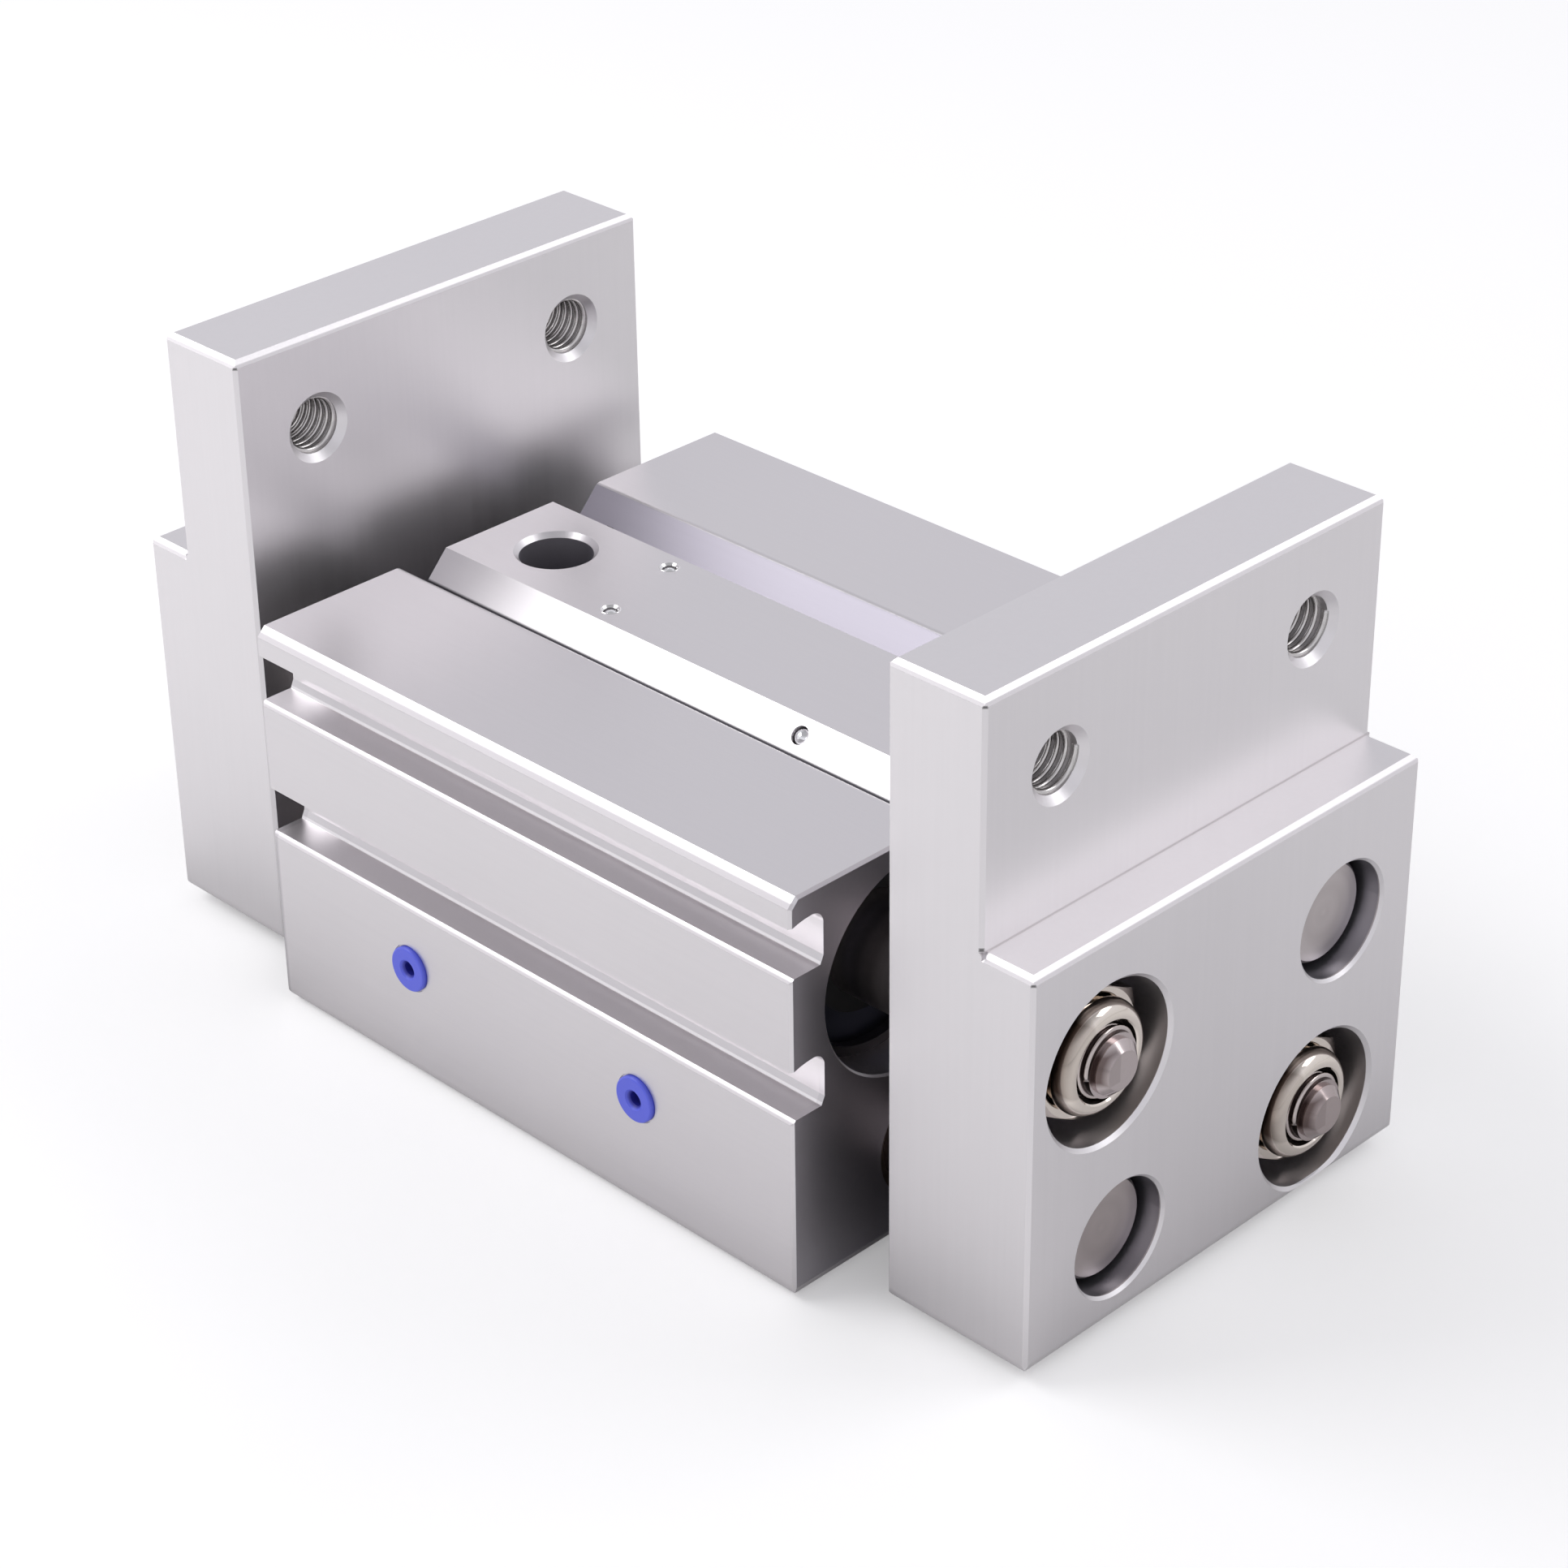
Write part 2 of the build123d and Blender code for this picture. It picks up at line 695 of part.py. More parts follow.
def involute_point(base_radius, radius, start_angle, direction):
    # point of an involute flank at a given radius
    roll = sqrt(max((radius / base_radius) ** 2 - 1, 0))
    angle = start_angle + direction * (roll - atan(roll))
    return (radius * cos(angle), radius * sin(angle))


def make_pinion():
    base_radius = pitch_radius * cos(radians(pressure_angle))
    pitch_roll = tan(radians(pressure_angle)) - radians(pressure_angle)
    half_tooth = pi / (2 * gear_teeth) - gear_backlash / (4 * pitch_radius)
    flank_start = max(base_radius, gear_root_radius)
    radii = [
        flank_start + (gear_outer_radius - flank_start) * k / gear_flank_steps
        for k in range(gear_flank_steps + 1)
    ]
    with BuildPart() as pinion:
        with BuildSketch(Plane.XY.offset(gear_bottom_z)):
            Circle(gear_root_radius)
            for tooth in range(gear_teeth):
                middle = pi / 2 + tooth * 2 * pi / gear_teeth
                low_start = middle - half_tooth - pitch_roll
                high_start = middle + half_tooth + pitch_roll
                low = [involute_point(base_radius, r, low_start, 1) for r in radii]
                high = [involute_point(base_radius, r, high_start, -1) for r in radii]
                inner = gear_root_radius - gear_foot_sink
                low_foot = (inner * cos(low_start), inner * sin(low_start))
                high_foot = (inner * cos(high_start), inner * sin(high_start))
                with BuildLine():
                    Polyline(low_foot, *low, *reversed(high), high_foot, close=True)
                make_face()
        extrude(amount=gear_width)
        with BuildSketch(Plane.XY.offset(hub_bottom_z)):
            Circle(hub_diameter / 2)
        extrude(amount=gear_bottom_z - hub_bottom_z)
        with BuildSketch(Plane.XY.offset(hub_bottom_z)):
            Circle(gear_bush_radius)
        extrude(amount=gear_top_z - hub_bottom_z, mode=Mode.SUBTRACT)
    return pinion.part


write_node(make_pinion(), "pinion_gear")

with BuildPart() as pinion_bush:
    with BuildSketch(Plane.XY.offset(hub_bottom_z)):
        Circle(gear_bush_radius - seat_gap)
        Circle(pin_radius + running_gap, mode=Mode.SUBTRACT)
    extrude(amount=gear_top_z - hub_bottom_z)
write_node(pinion_bush.part, "pinion_bush")

with BuildPart() as pinion_pin:
    with BuildSketch(Plane.XY.offset(pinion_cover_recess + pin_end_gap)):
        Circle(pin_radius)
    extrude(amount=gear_pocket_top_z + pin_upper_grip - pinion_cover_recess - 2 * pin_end_gap)
    chamfer(pinion_pin.edges().filter_by(GeomType.CIRCLE), pin_chamfer)
write_node(pinion_pin.part, "pinion_pin")

thrust_washers = []
for washer_z in (cover_top_z, gear_top_z):
    with BuildPart() as thrust_washer:
        with BuildSketch(Plane.XY.offset(washer_z + seat_gap)):
            Circle(hub_diameter / 2)
            Circle(pin_radius + seat_gap, mode=Mode.SUBTRACT)
        extrude(amount=thrust_washer_thickness - 2 * seat_gap)
    thrust_washers.append(thrust_washer.part)
write_node(Compound(children=thrust_washers), "pinion_thrust_washers")

with BuildPart() as pinion_cover:
    with BuildSketch(Plane.XY.offset(pinion_cover_recess)):
        Circle(pinion_cover_diameter / 2 - seat_gap)
    extrude(amount=pinion_cover_thickness)
    with BuildSketch(Plane.XY.offset(pinion_cover_recess)):
        Circle(pin_radius + seat_gap)
    extrude(amount=pinion_cover_thickness, mode=Mode.SUBTRACT)
write_node(pinion_cover.part, "pinion_cover")

pinion_clip = make_snap_ring(
    pinion_cover_diameter / 2 + snap_ring_groove_depth - seat_gap, 0, 0, 0, 1, 0
)
pinion_clip = pinion_clip.rotate(Axis.Y, -90).translate((0, 0, pinion_cover_recess - snap_ring_thickness))
write_node(pinion_clip, "pinion_cover_snap_ring")


# Port plugs: flanged cap with a centre dimple
for side_name, side in (("right", 1), ("left", -1)):
    seat_y = -half_width + port_spot_depth
    with BuildPart() as port_plug:
        with BuildSketch(
            Plane(origin=(side * port_x, seat_y, port_z), x_dir=(1, 0, 0), z_dir=(0, -1, 0))
        ):
            Circle(plug_flange_diameter / 2)
        extrude(amount=plug_flange_height)
        fillet(port_plug.faces().sort_by(Axis.Y)[0].edges(), plug_edge_radius)
        with BuildSketch(
            Plane(origin=(side * port_x, seat_y, port_z), x_dir=(1, 0, 0), z_dir=(0, 1, 0))
        ):
            Circle(port_diameter / 2 - seat_gap)
        extrude(amount=port_depth - plug_end_gap)
        with BuildSketch(
            Plane(
                origin=(side * port_x, seat_y - plug_flange_height, port_z),
                x_dir=(1, 0, 0),
                z_dir=(0, 1, 0),
            )
        ):
            Circle(plug_dimple_diameter / 2)
        extrude(amount=plug_dimple_depth, mode=Mode.SUBTRACT)
        dimple_mouth = port_plug.edges().filter_by(GeomType.CIRCLE).filter_by(
            lambda e: abs(e.radius - plug_dimple_diameter / 2) < 0.01
        )
        chamfer(dimple_mouth.sort_by(Axis.Y)[0], plug_dimple_chamfer)
    write_node(port_plug.part, f"port_plug_{side_name}")

# Ball plugs that close the air drillings
ball_plugs = []
ball_drop = ball_diameter / 2 + ball_sink
for side in (-1, 1):
    with BuildPart() as ball:
        with Locations(
            (
                -side * slant_drill_x,
                side * (slant_wall_y - ball_drop / sqrt(2)),
                slant_wall_z - ball_drop / sqrt(2),
            )
        ):
            Sphere(ball_diameter / 2)
    ball_plugs.append(ball.part)
for spot in top_drill_spots:
    with BuildPart() as ball:
        with Locations((spot[0], spot[1], body_height - ball_drop)):
            Sphere(ball_diameter / 2)
    ball_plugs.append(ball.part)
write_node(Compound(children=ball_plugs), "passage_ball_plugs")


def make_finger():
    rod_sites = [(-piston_axis_y, piston_axis_z), (rack_axis_y, rack_axis_z)]
    clearance_sites = [(piston_axis_y, piston_axis_z), (-rack_axis_y, rack_axis_z)]
    lug_outer_x = finger_inner_x + finger_lug_thickness
    finger_corners = upright_block(
        finger_inner_x,
        finger_outer_x,
        finger_width,
        finger_bottom_z,
        body_height,
        finger_vertical_chamfer,
    ) + upright_block(
        finger_inner_x,
        lug_outer_x,
        finger_width,
        body_height,
        finger_top_z,
        finger_vertical_chamfer,
    )
    with BuildPart() as finger:
        with BuildSketch(
            Plane(origin=(0, finger_width / 2, 0), x_dir=(1, 0, 0), z_dir=(0, -1, 0))
        ):
            with BuildLine():
                Polyline(
                    (finger_inner_x, finger_bottom_z),
                    (finger_outer_x, finger_bottom_z),
                    (finger_outer_x, body_height),
                    (lug_outer_x, body_height),
                    (lug_outer_x, finger_top_z),
                    (finger_inner_x, finger_top_z),
                    close=True,
                )
            make_face()
        extrude(amount=finger_width)
        fillet(finger.faces().sort_by(Axis.Z)[0].edges(), finger_bottom_radius)
        step_edges = finger.edges().filter_by(
            lambda e: abs(e.center().Z - body_height) < 0.01
            and e.center().X > lug_outer_x + 0.01
        )
        chamfer(step_edges, finger_chamfer)
        chamfer(finger.faces().sort_by(Axis.Z)[-1].edges(), finger_chamfer)
        add(finger_corners, mode=Mode.INTERSECT)
        for y, z in rod_sites:
            with BuildSketch(plane_facing_x(nut_seat_x, y, z)):
                Circle(nut_pocket_diameter / 2)
            extrude(amount=nut_pocket_depth, mode=Mode.SUBTRACT)
            with BuildSketch(plane_facing_x(finger_inner_x, y, z)):
                Circle(stud_diameter / 2 + seat_gap)
            extrude(amount=finger_base_thickness, mode=Mode.SUBTRACT)
            with BuildSketch(plane_facing_x(finger_inner_x, y, z)):
                Circle(rod_radius + seat_gap)
            extrude(amount=rod_socket_depth, mode=Mode.SUBTRACT)
        for y, z in clearance_sites:
            with BuildSketch(plane_facing_x(finger_inner_x, y, z)):
                Circle(rod_clearance_diameter / 2)
            extrude(amount=finger_base_thickness, mode=Mode.SUBTRACT)
        for y in (-lug_hole_y, lug_hole_y):
            with BuildSketch(plane_facing_x(finger_inner_x, y, lug_hole_z)):
                Circle(lug_thread_diameter / 2)
            extrude(amount=finger_lug_thickness, mode=Mode.SUBTRACT)
        mouths = finger.edges().filter_by(GeomType.CIRCLE)
        chamfer(
            mouths.filter_by(lambda e: abs(e.radius - lug_thread_diameter / 2) < 0.001),
            lug_hole_chamfer,
        )
        chamfer(
            finger.edges()
            .filter_by(GeomType.CIRCLE)
            .filter_by(lambda e: abs(e.radius - rod_clearance_diameter / 2) < 0.001),
            rod_clearance_chamfer,
        )
        chamfer(
            finger.edges()
            .filter_by(GeomType.CIRCLE)
            .filter_by(
                lambda e: abs(e.radius - nut_pocket_diameter / 2) < 0.001
                and e.arc_center.X > finger_outer_x - 0.1
            ),
            nut_pocket_chamfer,
        )
    return finger.part


def make_lock_nut(y, z):
    # hexagonal nut with a rounded locking collar on its outer end
    turning_plane = Plane(origin=(nut_start_x, y, z), x_dir=(1, 0, 0), z_dir=(0, 0, 1))
    turning_axis = Axis((nut_start_x, y, z), (1, 0, 0))
    collar_end = nut_hex_height + nut_collar_height
    with BuildPart() as nut:
        with BuildSketch(plane_facing_x(nut_start_x, y, z)):
            RegularPolygon(nut_width / 2, 6, major_radius=False)
        extrude(amount=nut_hex_height)
        corner_radius = nut_width / sqrt(3)
        with BuildSketch(turning_plane):
            with BuildLine():
                Polyline(
                    (0, 0),
                    (0, nut_width / 2 + nut_face_rim),
                    (corner_radius - nut_width / 2, corner_radius),
                    (nut_hex_height - corner_radius + nut_width / 2, corner_radius),
                    (nut_hex_height, nut_width / 2 + nut_face_rim),
                    (nut_hex_height, 0),
                    close=True,
                )
            make_face()
        revolve(axis=turning_axis, mode=Mode.INTERSECT)
        with BuildSketch(turning_plane):
            with BuildLine():
                Polyline(
                    (nut_hex_height, 0),
                    (nut_hex_height, nut_collar_base_diameter / 2),
                    (collar_end, nut_collar_face_diameter / 2),
                    (collar_end, 0),
                    close=True,
                )
            make_face()
        revolve(axis=turning_axis)
        fillet(nut.faces().filter_by(Axis.X).sort_by(Axis.X)[-1].edges(), nut_collar_round)
        with BuildSketch(plane_facing_x(nut_start_x, y, z)):
            Circle(stud_diameter / 2 + seat_gap)
        extrude(amount=collar_end, mode=Mode.SUBTRACT)
        with BuildSketch(plane_facing_x(nut_face_x, y, z)):
            Circle(nut_mouth_diameter / 2)
        extrude(amount=-nut_mouth_depth, mode=Mode.SUBTRACT)
    return nut.part


def make_spring_washer(y, z):
    # conical spring washer pressed nearly flat
    with BuildPart() as washer:
        with BuildSketch(
            Plane(origin=(nut_seat_x, y, z), x_dir=(1, 0, 0), z_dir=(0, 0, 1))
        ):
            with BuildLine():
                Polyline(
                    (0, washer_diameter / 2),
                    (washer_dish, stud_diameter / 2 + washer_bore_gap),
                    (washer_thickness, stud_diameter / 2 + washer_bore_gap),
                    (washer_thickness - washer_dish, washer_diameter / 2),
                    close=True,
                )
            make_face()
        revolve(axis=Axis((nut_seat_x, y, z), (1, 0, 0)), revolution_arc=360)
    return washer.part


def make_piston():
    left_x = piston_centre_x - piston_width / 2
    y = -piston_axis_y
    groove_starts = [
        (left_x + seal_inset, seal_groove_width, seal_groove_depth),
        (left_x + piston_width - seal_inset - seal_groove_width, seal_groove_width, seal_groove_depth),
        (piston_centre_x + magnet_offset, magnet_width, magnet_depth),
        (piston_centre_x + wear_ring_offset, wear_ring_width, wear_ring_depth),
    ]
    with BuildPart() as piston:
        with BuildSketch(plane_facing_x(left_x, y, piston_axis_z)):
            Circle(bore_radius - piston_gap)
            Circle(rod_radius + seat_gap, mode=Mode.SUBTRACT)
        extrude(amount=piston_width)
        for groove_x, width, depth in groove_starts:
            with BuildSketch(plane_facing_x(groove_x, y, piston_axis_z)):
                Circle(bore_radius + 1)
                Circle(bore_radius - piston_gap - depth, mode=Mode.SUBTRACT)
            extrude(amount=width, mode=Mode.SUBTRACT)
    return piston.part, groove_starts


# Everything that moves with the right finger; the left set is the same, turned half round
piston_part, piston_grooves = make_piston()
piston_left_x = piston_centre_x - piston_width / 2
seal_radius = bore_radius - running_gap
seal_set = Compound(
    children=[
        ring_along_x(
            seal_radius,
            bore_radius - piston_gap - depth + seat_gap,
            groove_x + seat_gap,
            groove_x + width - seat_gap,
            -piston_axis_y,
            piston_axis_z,
        )
        for groove_x, width, depth in piston_grooves[:2]
    ]
)
magnet_x, magnet_w, magnet_d = piston_grooves[2]
piston_magnet = ring_along_x(
    bore_radius - piston_gap - magnet_sink,
    bore_radius - piston_gap - magnet_d + seat_gap,
    magnet_x + seat_gap,
    magnet_x + magnet_w - seat_gap,
    -piston_axis_y,
    piston_axis_z,
)
wear_x, wear_w, wear_d = piston_grooves[3]
piston_wear_ring = ring_along_x(
    seal_radius,
    bore_radius - piston_gap - wear_d + seat_gap,
    wear_x + seat_gap,
    wear_x + wear_w - seat_gap,
    -piston_axis_y,
    piston_axis_z,
)
clip_starts = [piston_left_x - rod_clip_width, piston_left_x + piston_width]
rod_clips = Compound(
    children=[
        ring_along_x(
            rod_clip_outer_diameter / 2,
            rod_radius - rod_clip_groove_depth + seat_gap,
            clip_x + seat_gap,
            clip_x + rod_clip_width - seat_gap,
            -piston_axis_y,
            piston_axis_z,
        )
        for clip_x in clip_starts
    ]
)
stud_sites = [(-piston_axis_y, piston_axis_z), (rack_axis_y, rack_axis_z)]
jaw_parts = {
    "finger": make_finger(),
    "piston_rod": make_rod(-piston_axis_y, piston_axis_z, clip_starts),
    "rack_rod": make_rack_rod(),
    "piston": piston_part,
    "piston_seals": seal_set,
    "piston_magnet": piston_magnet,
    "piston_wear_ring": piston_wear_ring,
    "piston_clips": rod_clips,
    "lock_nuts": Compound(children=[make_lock_nut(y, z) for y, z in stud_sites]),
    "spring_washers": Compound(children=[make_spring_washer(y, z) for y, z in stud_sites]),
}
for piece_name, piece in jaw_parts.items():
    write_node(piece, f"{piece_name}_right")
    write_node(turned(piece), f"{piece_name}_left")
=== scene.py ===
import json
from math import cos, pi, radians, sin, tau

import bmesh
import bpy
from mathutils import Matrix, Vector


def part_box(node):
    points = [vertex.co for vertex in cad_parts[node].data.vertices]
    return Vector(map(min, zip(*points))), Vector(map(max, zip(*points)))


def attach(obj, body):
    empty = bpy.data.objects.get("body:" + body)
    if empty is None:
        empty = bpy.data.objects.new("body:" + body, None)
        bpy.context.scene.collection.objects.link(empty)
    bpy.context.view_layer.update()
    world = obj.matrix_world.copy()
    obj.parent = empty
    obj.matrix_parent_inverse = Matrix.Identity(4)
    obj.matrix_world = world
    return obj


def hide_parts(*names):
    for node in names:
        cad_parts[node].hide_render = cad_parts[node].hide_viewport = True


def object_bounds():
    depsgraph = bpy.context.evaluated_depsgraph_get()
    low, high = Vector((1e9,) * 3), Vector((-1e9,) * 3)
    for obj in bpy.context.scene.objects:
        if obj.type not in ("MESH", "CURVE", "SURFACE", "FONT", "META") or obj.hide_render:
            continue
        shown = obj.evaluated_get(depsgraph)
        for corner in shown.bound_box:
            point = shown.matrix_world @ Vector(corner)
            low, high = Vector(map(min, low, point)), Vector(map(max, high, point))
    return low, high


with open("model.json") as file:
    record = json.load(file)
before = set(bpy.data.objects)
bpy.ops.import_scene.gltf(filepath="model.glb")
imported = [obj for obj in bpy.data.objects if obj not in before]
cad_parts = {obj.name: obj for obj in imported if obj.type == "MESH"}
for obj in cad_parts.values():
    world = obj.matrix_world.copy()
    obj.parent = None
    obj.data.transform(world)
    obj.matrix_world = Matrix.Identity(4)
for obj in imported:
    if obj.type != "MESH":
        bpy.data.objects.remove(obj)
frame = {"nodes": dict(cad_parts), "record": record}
cadLow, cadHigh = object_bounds()
nodes = frame["nodes"]
print("gripper: frame loaded,", len(nodes), "nodes")

# Camera, fitted to the photograph's corners
cameraView = {
    "azimuth": 45.326,  # degrees round from the front
    "elevation": 29.954,
    "roll": -0.803,
    "distance": 0.545906,
    "slideRight": 0.003686,
    "slideUp": 0.031656,
    "lens": 90.285,  # mm
    "sensor": 36,
    "clip": (0.01, 20),
}


def placeCamera(view):
    az, el, roll = (radians(view[k]) for k in ("azimuth", "elevation", "roll"))
    back = Vector((sin(az) * cos(el), -cos(az) * cos(el), sin(el)))
    right = Vector((0, 0, 1)).cross(back).normalized()
    up = back.cross(right)
    rolledRight = right * cos(roll) + up * sin(roll)
    rolledUp = up * cos(roll) - right * sin(roll)
    spot = back * view["distance"] + rolledRight * view["slideRight"] + rolledUp * view["slideUp"]
    camera = bpy.data.objects.new("camera", bpy.data.cameras.new("camera"))
    camera.data.lens = view["lens"]
    camera.data.sensor_width = view["sensor"]
    camera.data.clip_start, camera.data.clip_end = view["clip"]
    turn = Matrix((rolledRight, rolledUp, back)).transposed().to_4x4()
    camera.matrix_world = Matrix.Translation(spot) @ turn
    bpy.context.scene.collection.objects.link(camera)
    bpy.context.scene.camera = camera


placeCamera(cameraView)


# Small helpers for materials, node groups and pieces
def newMaterial(name):
    material = bpy.data.materials.new(name)
    material.use_nodes = True
    material.node_tree.nodes.clear()
    return material, material.node_tree


def addNode(tree, kind, **values):
    node = tree.nodes.new(kind)
    for key, value in values.items():
        if hasattr(node, key):
            setattr(node, key, value)
        else:
            node.inputs[key].default_value = value
    return node


def newGroup(name, inputs, outputs):
    group = bpy.data.node_groups.new(name, "ShaderNodeTree")
    for label, kind, value in inputs:
        socket = group.interface.new_socket(label, in_out="INPUT", socket_type=kind)
        socket.default_value = value
    for label, kind in outputs:
        group.interface.new_socket(label, in_out="OUTPUT", socket_type=kind)
    return group, group.nodes.new("NodeGroupInput"), group.nodes.new("NodeGroupOutput")


def makePiece(name, shape, material):
    # a finished bmesh becomes an object at the world's origin
    mesh = bpy.data.meshes.new(name)
    shape.to_mesh(mesh)
    shape.free()
    mesh.materials.append(material)
    piece = bpy.data.objects.new(name, mesh)
    bpy.context.scene.collection.objects.link(piece)
    return piece


grainDetail = {
    "streakScale": 1300.0,
    "roughnessSwing": 1.5,  # how far the roughness follows the tone
    "streakRelief": 0.5,  # height of the streaks beside that of the grain
    "bandScale": 400.0,  # broad bands on turned steel
}


def buildSatinGrain():
    # fine etched grain with slow cloudy tone changes, as on anodised metal
    group, entry, out = newGroup(
        "satinGrain",
        [
            ("Grain Scale", "NodeSocketFloat", 2500.0),
            ("Cloud Scale", "NodeSocketFloat", 30.0),
            ("Tone Change", "NodeSocketFloat", 0.03),
            ("Streak Stretch", "NodeSocketVector", (1, 1, 1)),
            ("Streak Change", "NodeSocketFloat", 0.0),
            ("Base", "NodeSocketColor", (0.6, 0.6, 0.6, 1)),
            ("Roughness", "NodeSocketFloat", 0.35),
        ],
        [
            ("Color", "NodeSocketColor"),
            ("Roughness", "NodeSocketFloat"),
            ("Height", "NodeSocketFloat"),
        ],
    )
    link = group.links.new
    coords = addNode(group, "ShaderNodeTexCoord")
    grain = addNode(group, "ShaderNodeTexNoise", Detail=2.0, Roughness=0.6)
    clouds = addNode(group, "ShaderNodeTexNoise", Detail=3.0, Roughness=0.55)
    link(coords.outputs["Object"], grain.inputs["Vector"])
    link(coords.outputs["Object"], clouds.inputs["Vector"])
    link(entry.outputs["Grain Scale"], grain.inputs["Scale"])
    link(entry.outputs["Cloud Scale"], clouds.inputs["Scale"])
    stretched = addNode(group, "ShaderNodeVectorMath", operation="MULTIPLY")
    streaks = addNode(group, "ShaderNodeTexNoise", Detail=3.0, Roughness=0.7)
    streaks.inputs["Scale"].default_value = grainDetail["streakScale"]
    link(coords.outputs["Object"], stretched.inputs[0])
    link(entry.outputs["Streak Stretch"], stretched.inputs[1])
    link(stretched.outputs[0], streaks.inputs["Vector"])
    centred = addNode(group, "ShaderNodeMath", operation="SUBTRACT")
    centred.inputs[1].default_value = 0.5
    link(clouds.outputs["Fac"], centred.inputs[0])
    cloudSwing = addNode(group, "ShaderNodeMath", operation="MULTIPLY")
    link(centred.outputs[0], cloudSwing.inputs[0])
    link(entry.outputs["Tone Change"], cloudSwing.inputs[1])
    streakCentred = addNode(group, "ShaderNodeMath", operation="SUBTRACT")
    streakCentred.inputs[1].default_value = 0.5
    link(streaks.outputs["Fac"], streakCentred.inputs[0])
    swing = addNode(group, "ShaderNodeMath", operation="MULTIPLY_ADD")
    link(streakCentred.outputs[0], swing.inputs[0])
    link(entry.outputs["Streak Change"], swing.inputs[1])
    link(cloudSwing.outputs[0], swing.inputs[2])
    lift = addNode(group, "ShaderNodeMath", operation="ADD")
    lift.inputs[1].default_value = 1.0
    link(swing.outputs[0], lift.inputs[0])
    tone = addNode(group, "ShaderNodeVectorMath", operation="SCALE")
    link(entry.outputs["Base"], tone.inputs[0])
    link(lift.outputs[0], tone.inputs["Scale"])
    rough = addNode(group, "ShaderNodeMath", operation="MULTIPLY_ADD")
    link(swing.outputs[0], rough.inputs[0])
    rough.inputs[1].default_value = grainDetail["roughnessSwing"]
    link(entry.outputs["Roughness"], rough.inputs[2])
    link(tone.outputs["Vector"], out.inputs["Color"])
    link(rough.outputs[0], out.inputs["Roughness"])
    relief = addNode(group, "ShaderNodeMath", operation="MULTIPLY_ADD")
    link(streaks.outputs["Fac"], relief.inputs[0])
    relief.inputs[1].default_value = grainDetail["streakRelief"]
    link(grain.outputs["Fac"], relief.inputs[2])
    link(relief.outputs[0], out.inputs["Height"])
    return group


def buildRecess():
    # mask of a round recess along X: 1 on its wall and floor, 0 on the face around it
    group, entry, out = newGroup(
        "recessMask",
        [
            ("Centre", "NodeSocketVector", (0, 0, 0)),
            ("Radius", "NodeSocketFloat", 0.011),
            ("Low X", "NodeSocketFloat", 0.0),
            ("High X", "NodeSocketFloat", 1.0),
        ],
        [("Mask", "NodeSocketFloat")],
    )
    link = group.links.new
    coords = addNode(group, "ShaderNodeTexCoord")
    shift = addNode(group, "ShaderNodeVectorMath", operation="SUBTRACT")
    flat = addNode(group, "ShaderNodeVectorMath", operation="MULTIPLY")
    flat.inputs[1].default_value = (0, 1, 1)
    reach = addNode(group, "ShaderNodeVectorMath", operation="LENGTH")
    near = addNode(group, "ShaderNodeMath", operation="LESS_THAN")
    split = addNode(group, "ShaderNodeSeparateXYZ")
    above = addNode(group, "ShaderNodeMath", operation="GREATER_THAN")
    below = addNode(group, "ShaderNodeMath", operation="LESS_THAN")
    within = addNode(group, "ShaderNodeMath", operation="MULTIPLY")
    both = addNode(group, "ShaderNodeMath", operation="MULTIPLY")
    link(coords.outputs["Object"], shift.inputs[0])
    link(entry.outputs["Centre"], shift.inputs[1])
    link(shift.outputs[0], flat.inputs[0])
    link(flat.outputs[0], reach.inputs[0])
    link(reach.outputs["Value"], near.inputs[0])
    link(entry.outputs["Radius"], near.inputs[1])
    link(coords.outputs["Object"], split.inputs[0])
    link(split.outputs["X"], above.inputs[0])
    link(entry.outputs["Low X"], above.inputs[1])
    link(split.outputs["X"], below.inputs[0])
    link(entry.outputs["High X"], below.inputs[1])
    link(above.outputs[0], within.inputs[0])
    link(below.outputs[0], within.inputs[1])
    link(within.outputs[0], both.inputs[0])
    link(near.outputs[0], both.inputs[1])
    link(both.outputs[0], out.inputs["Mask"])
    return group


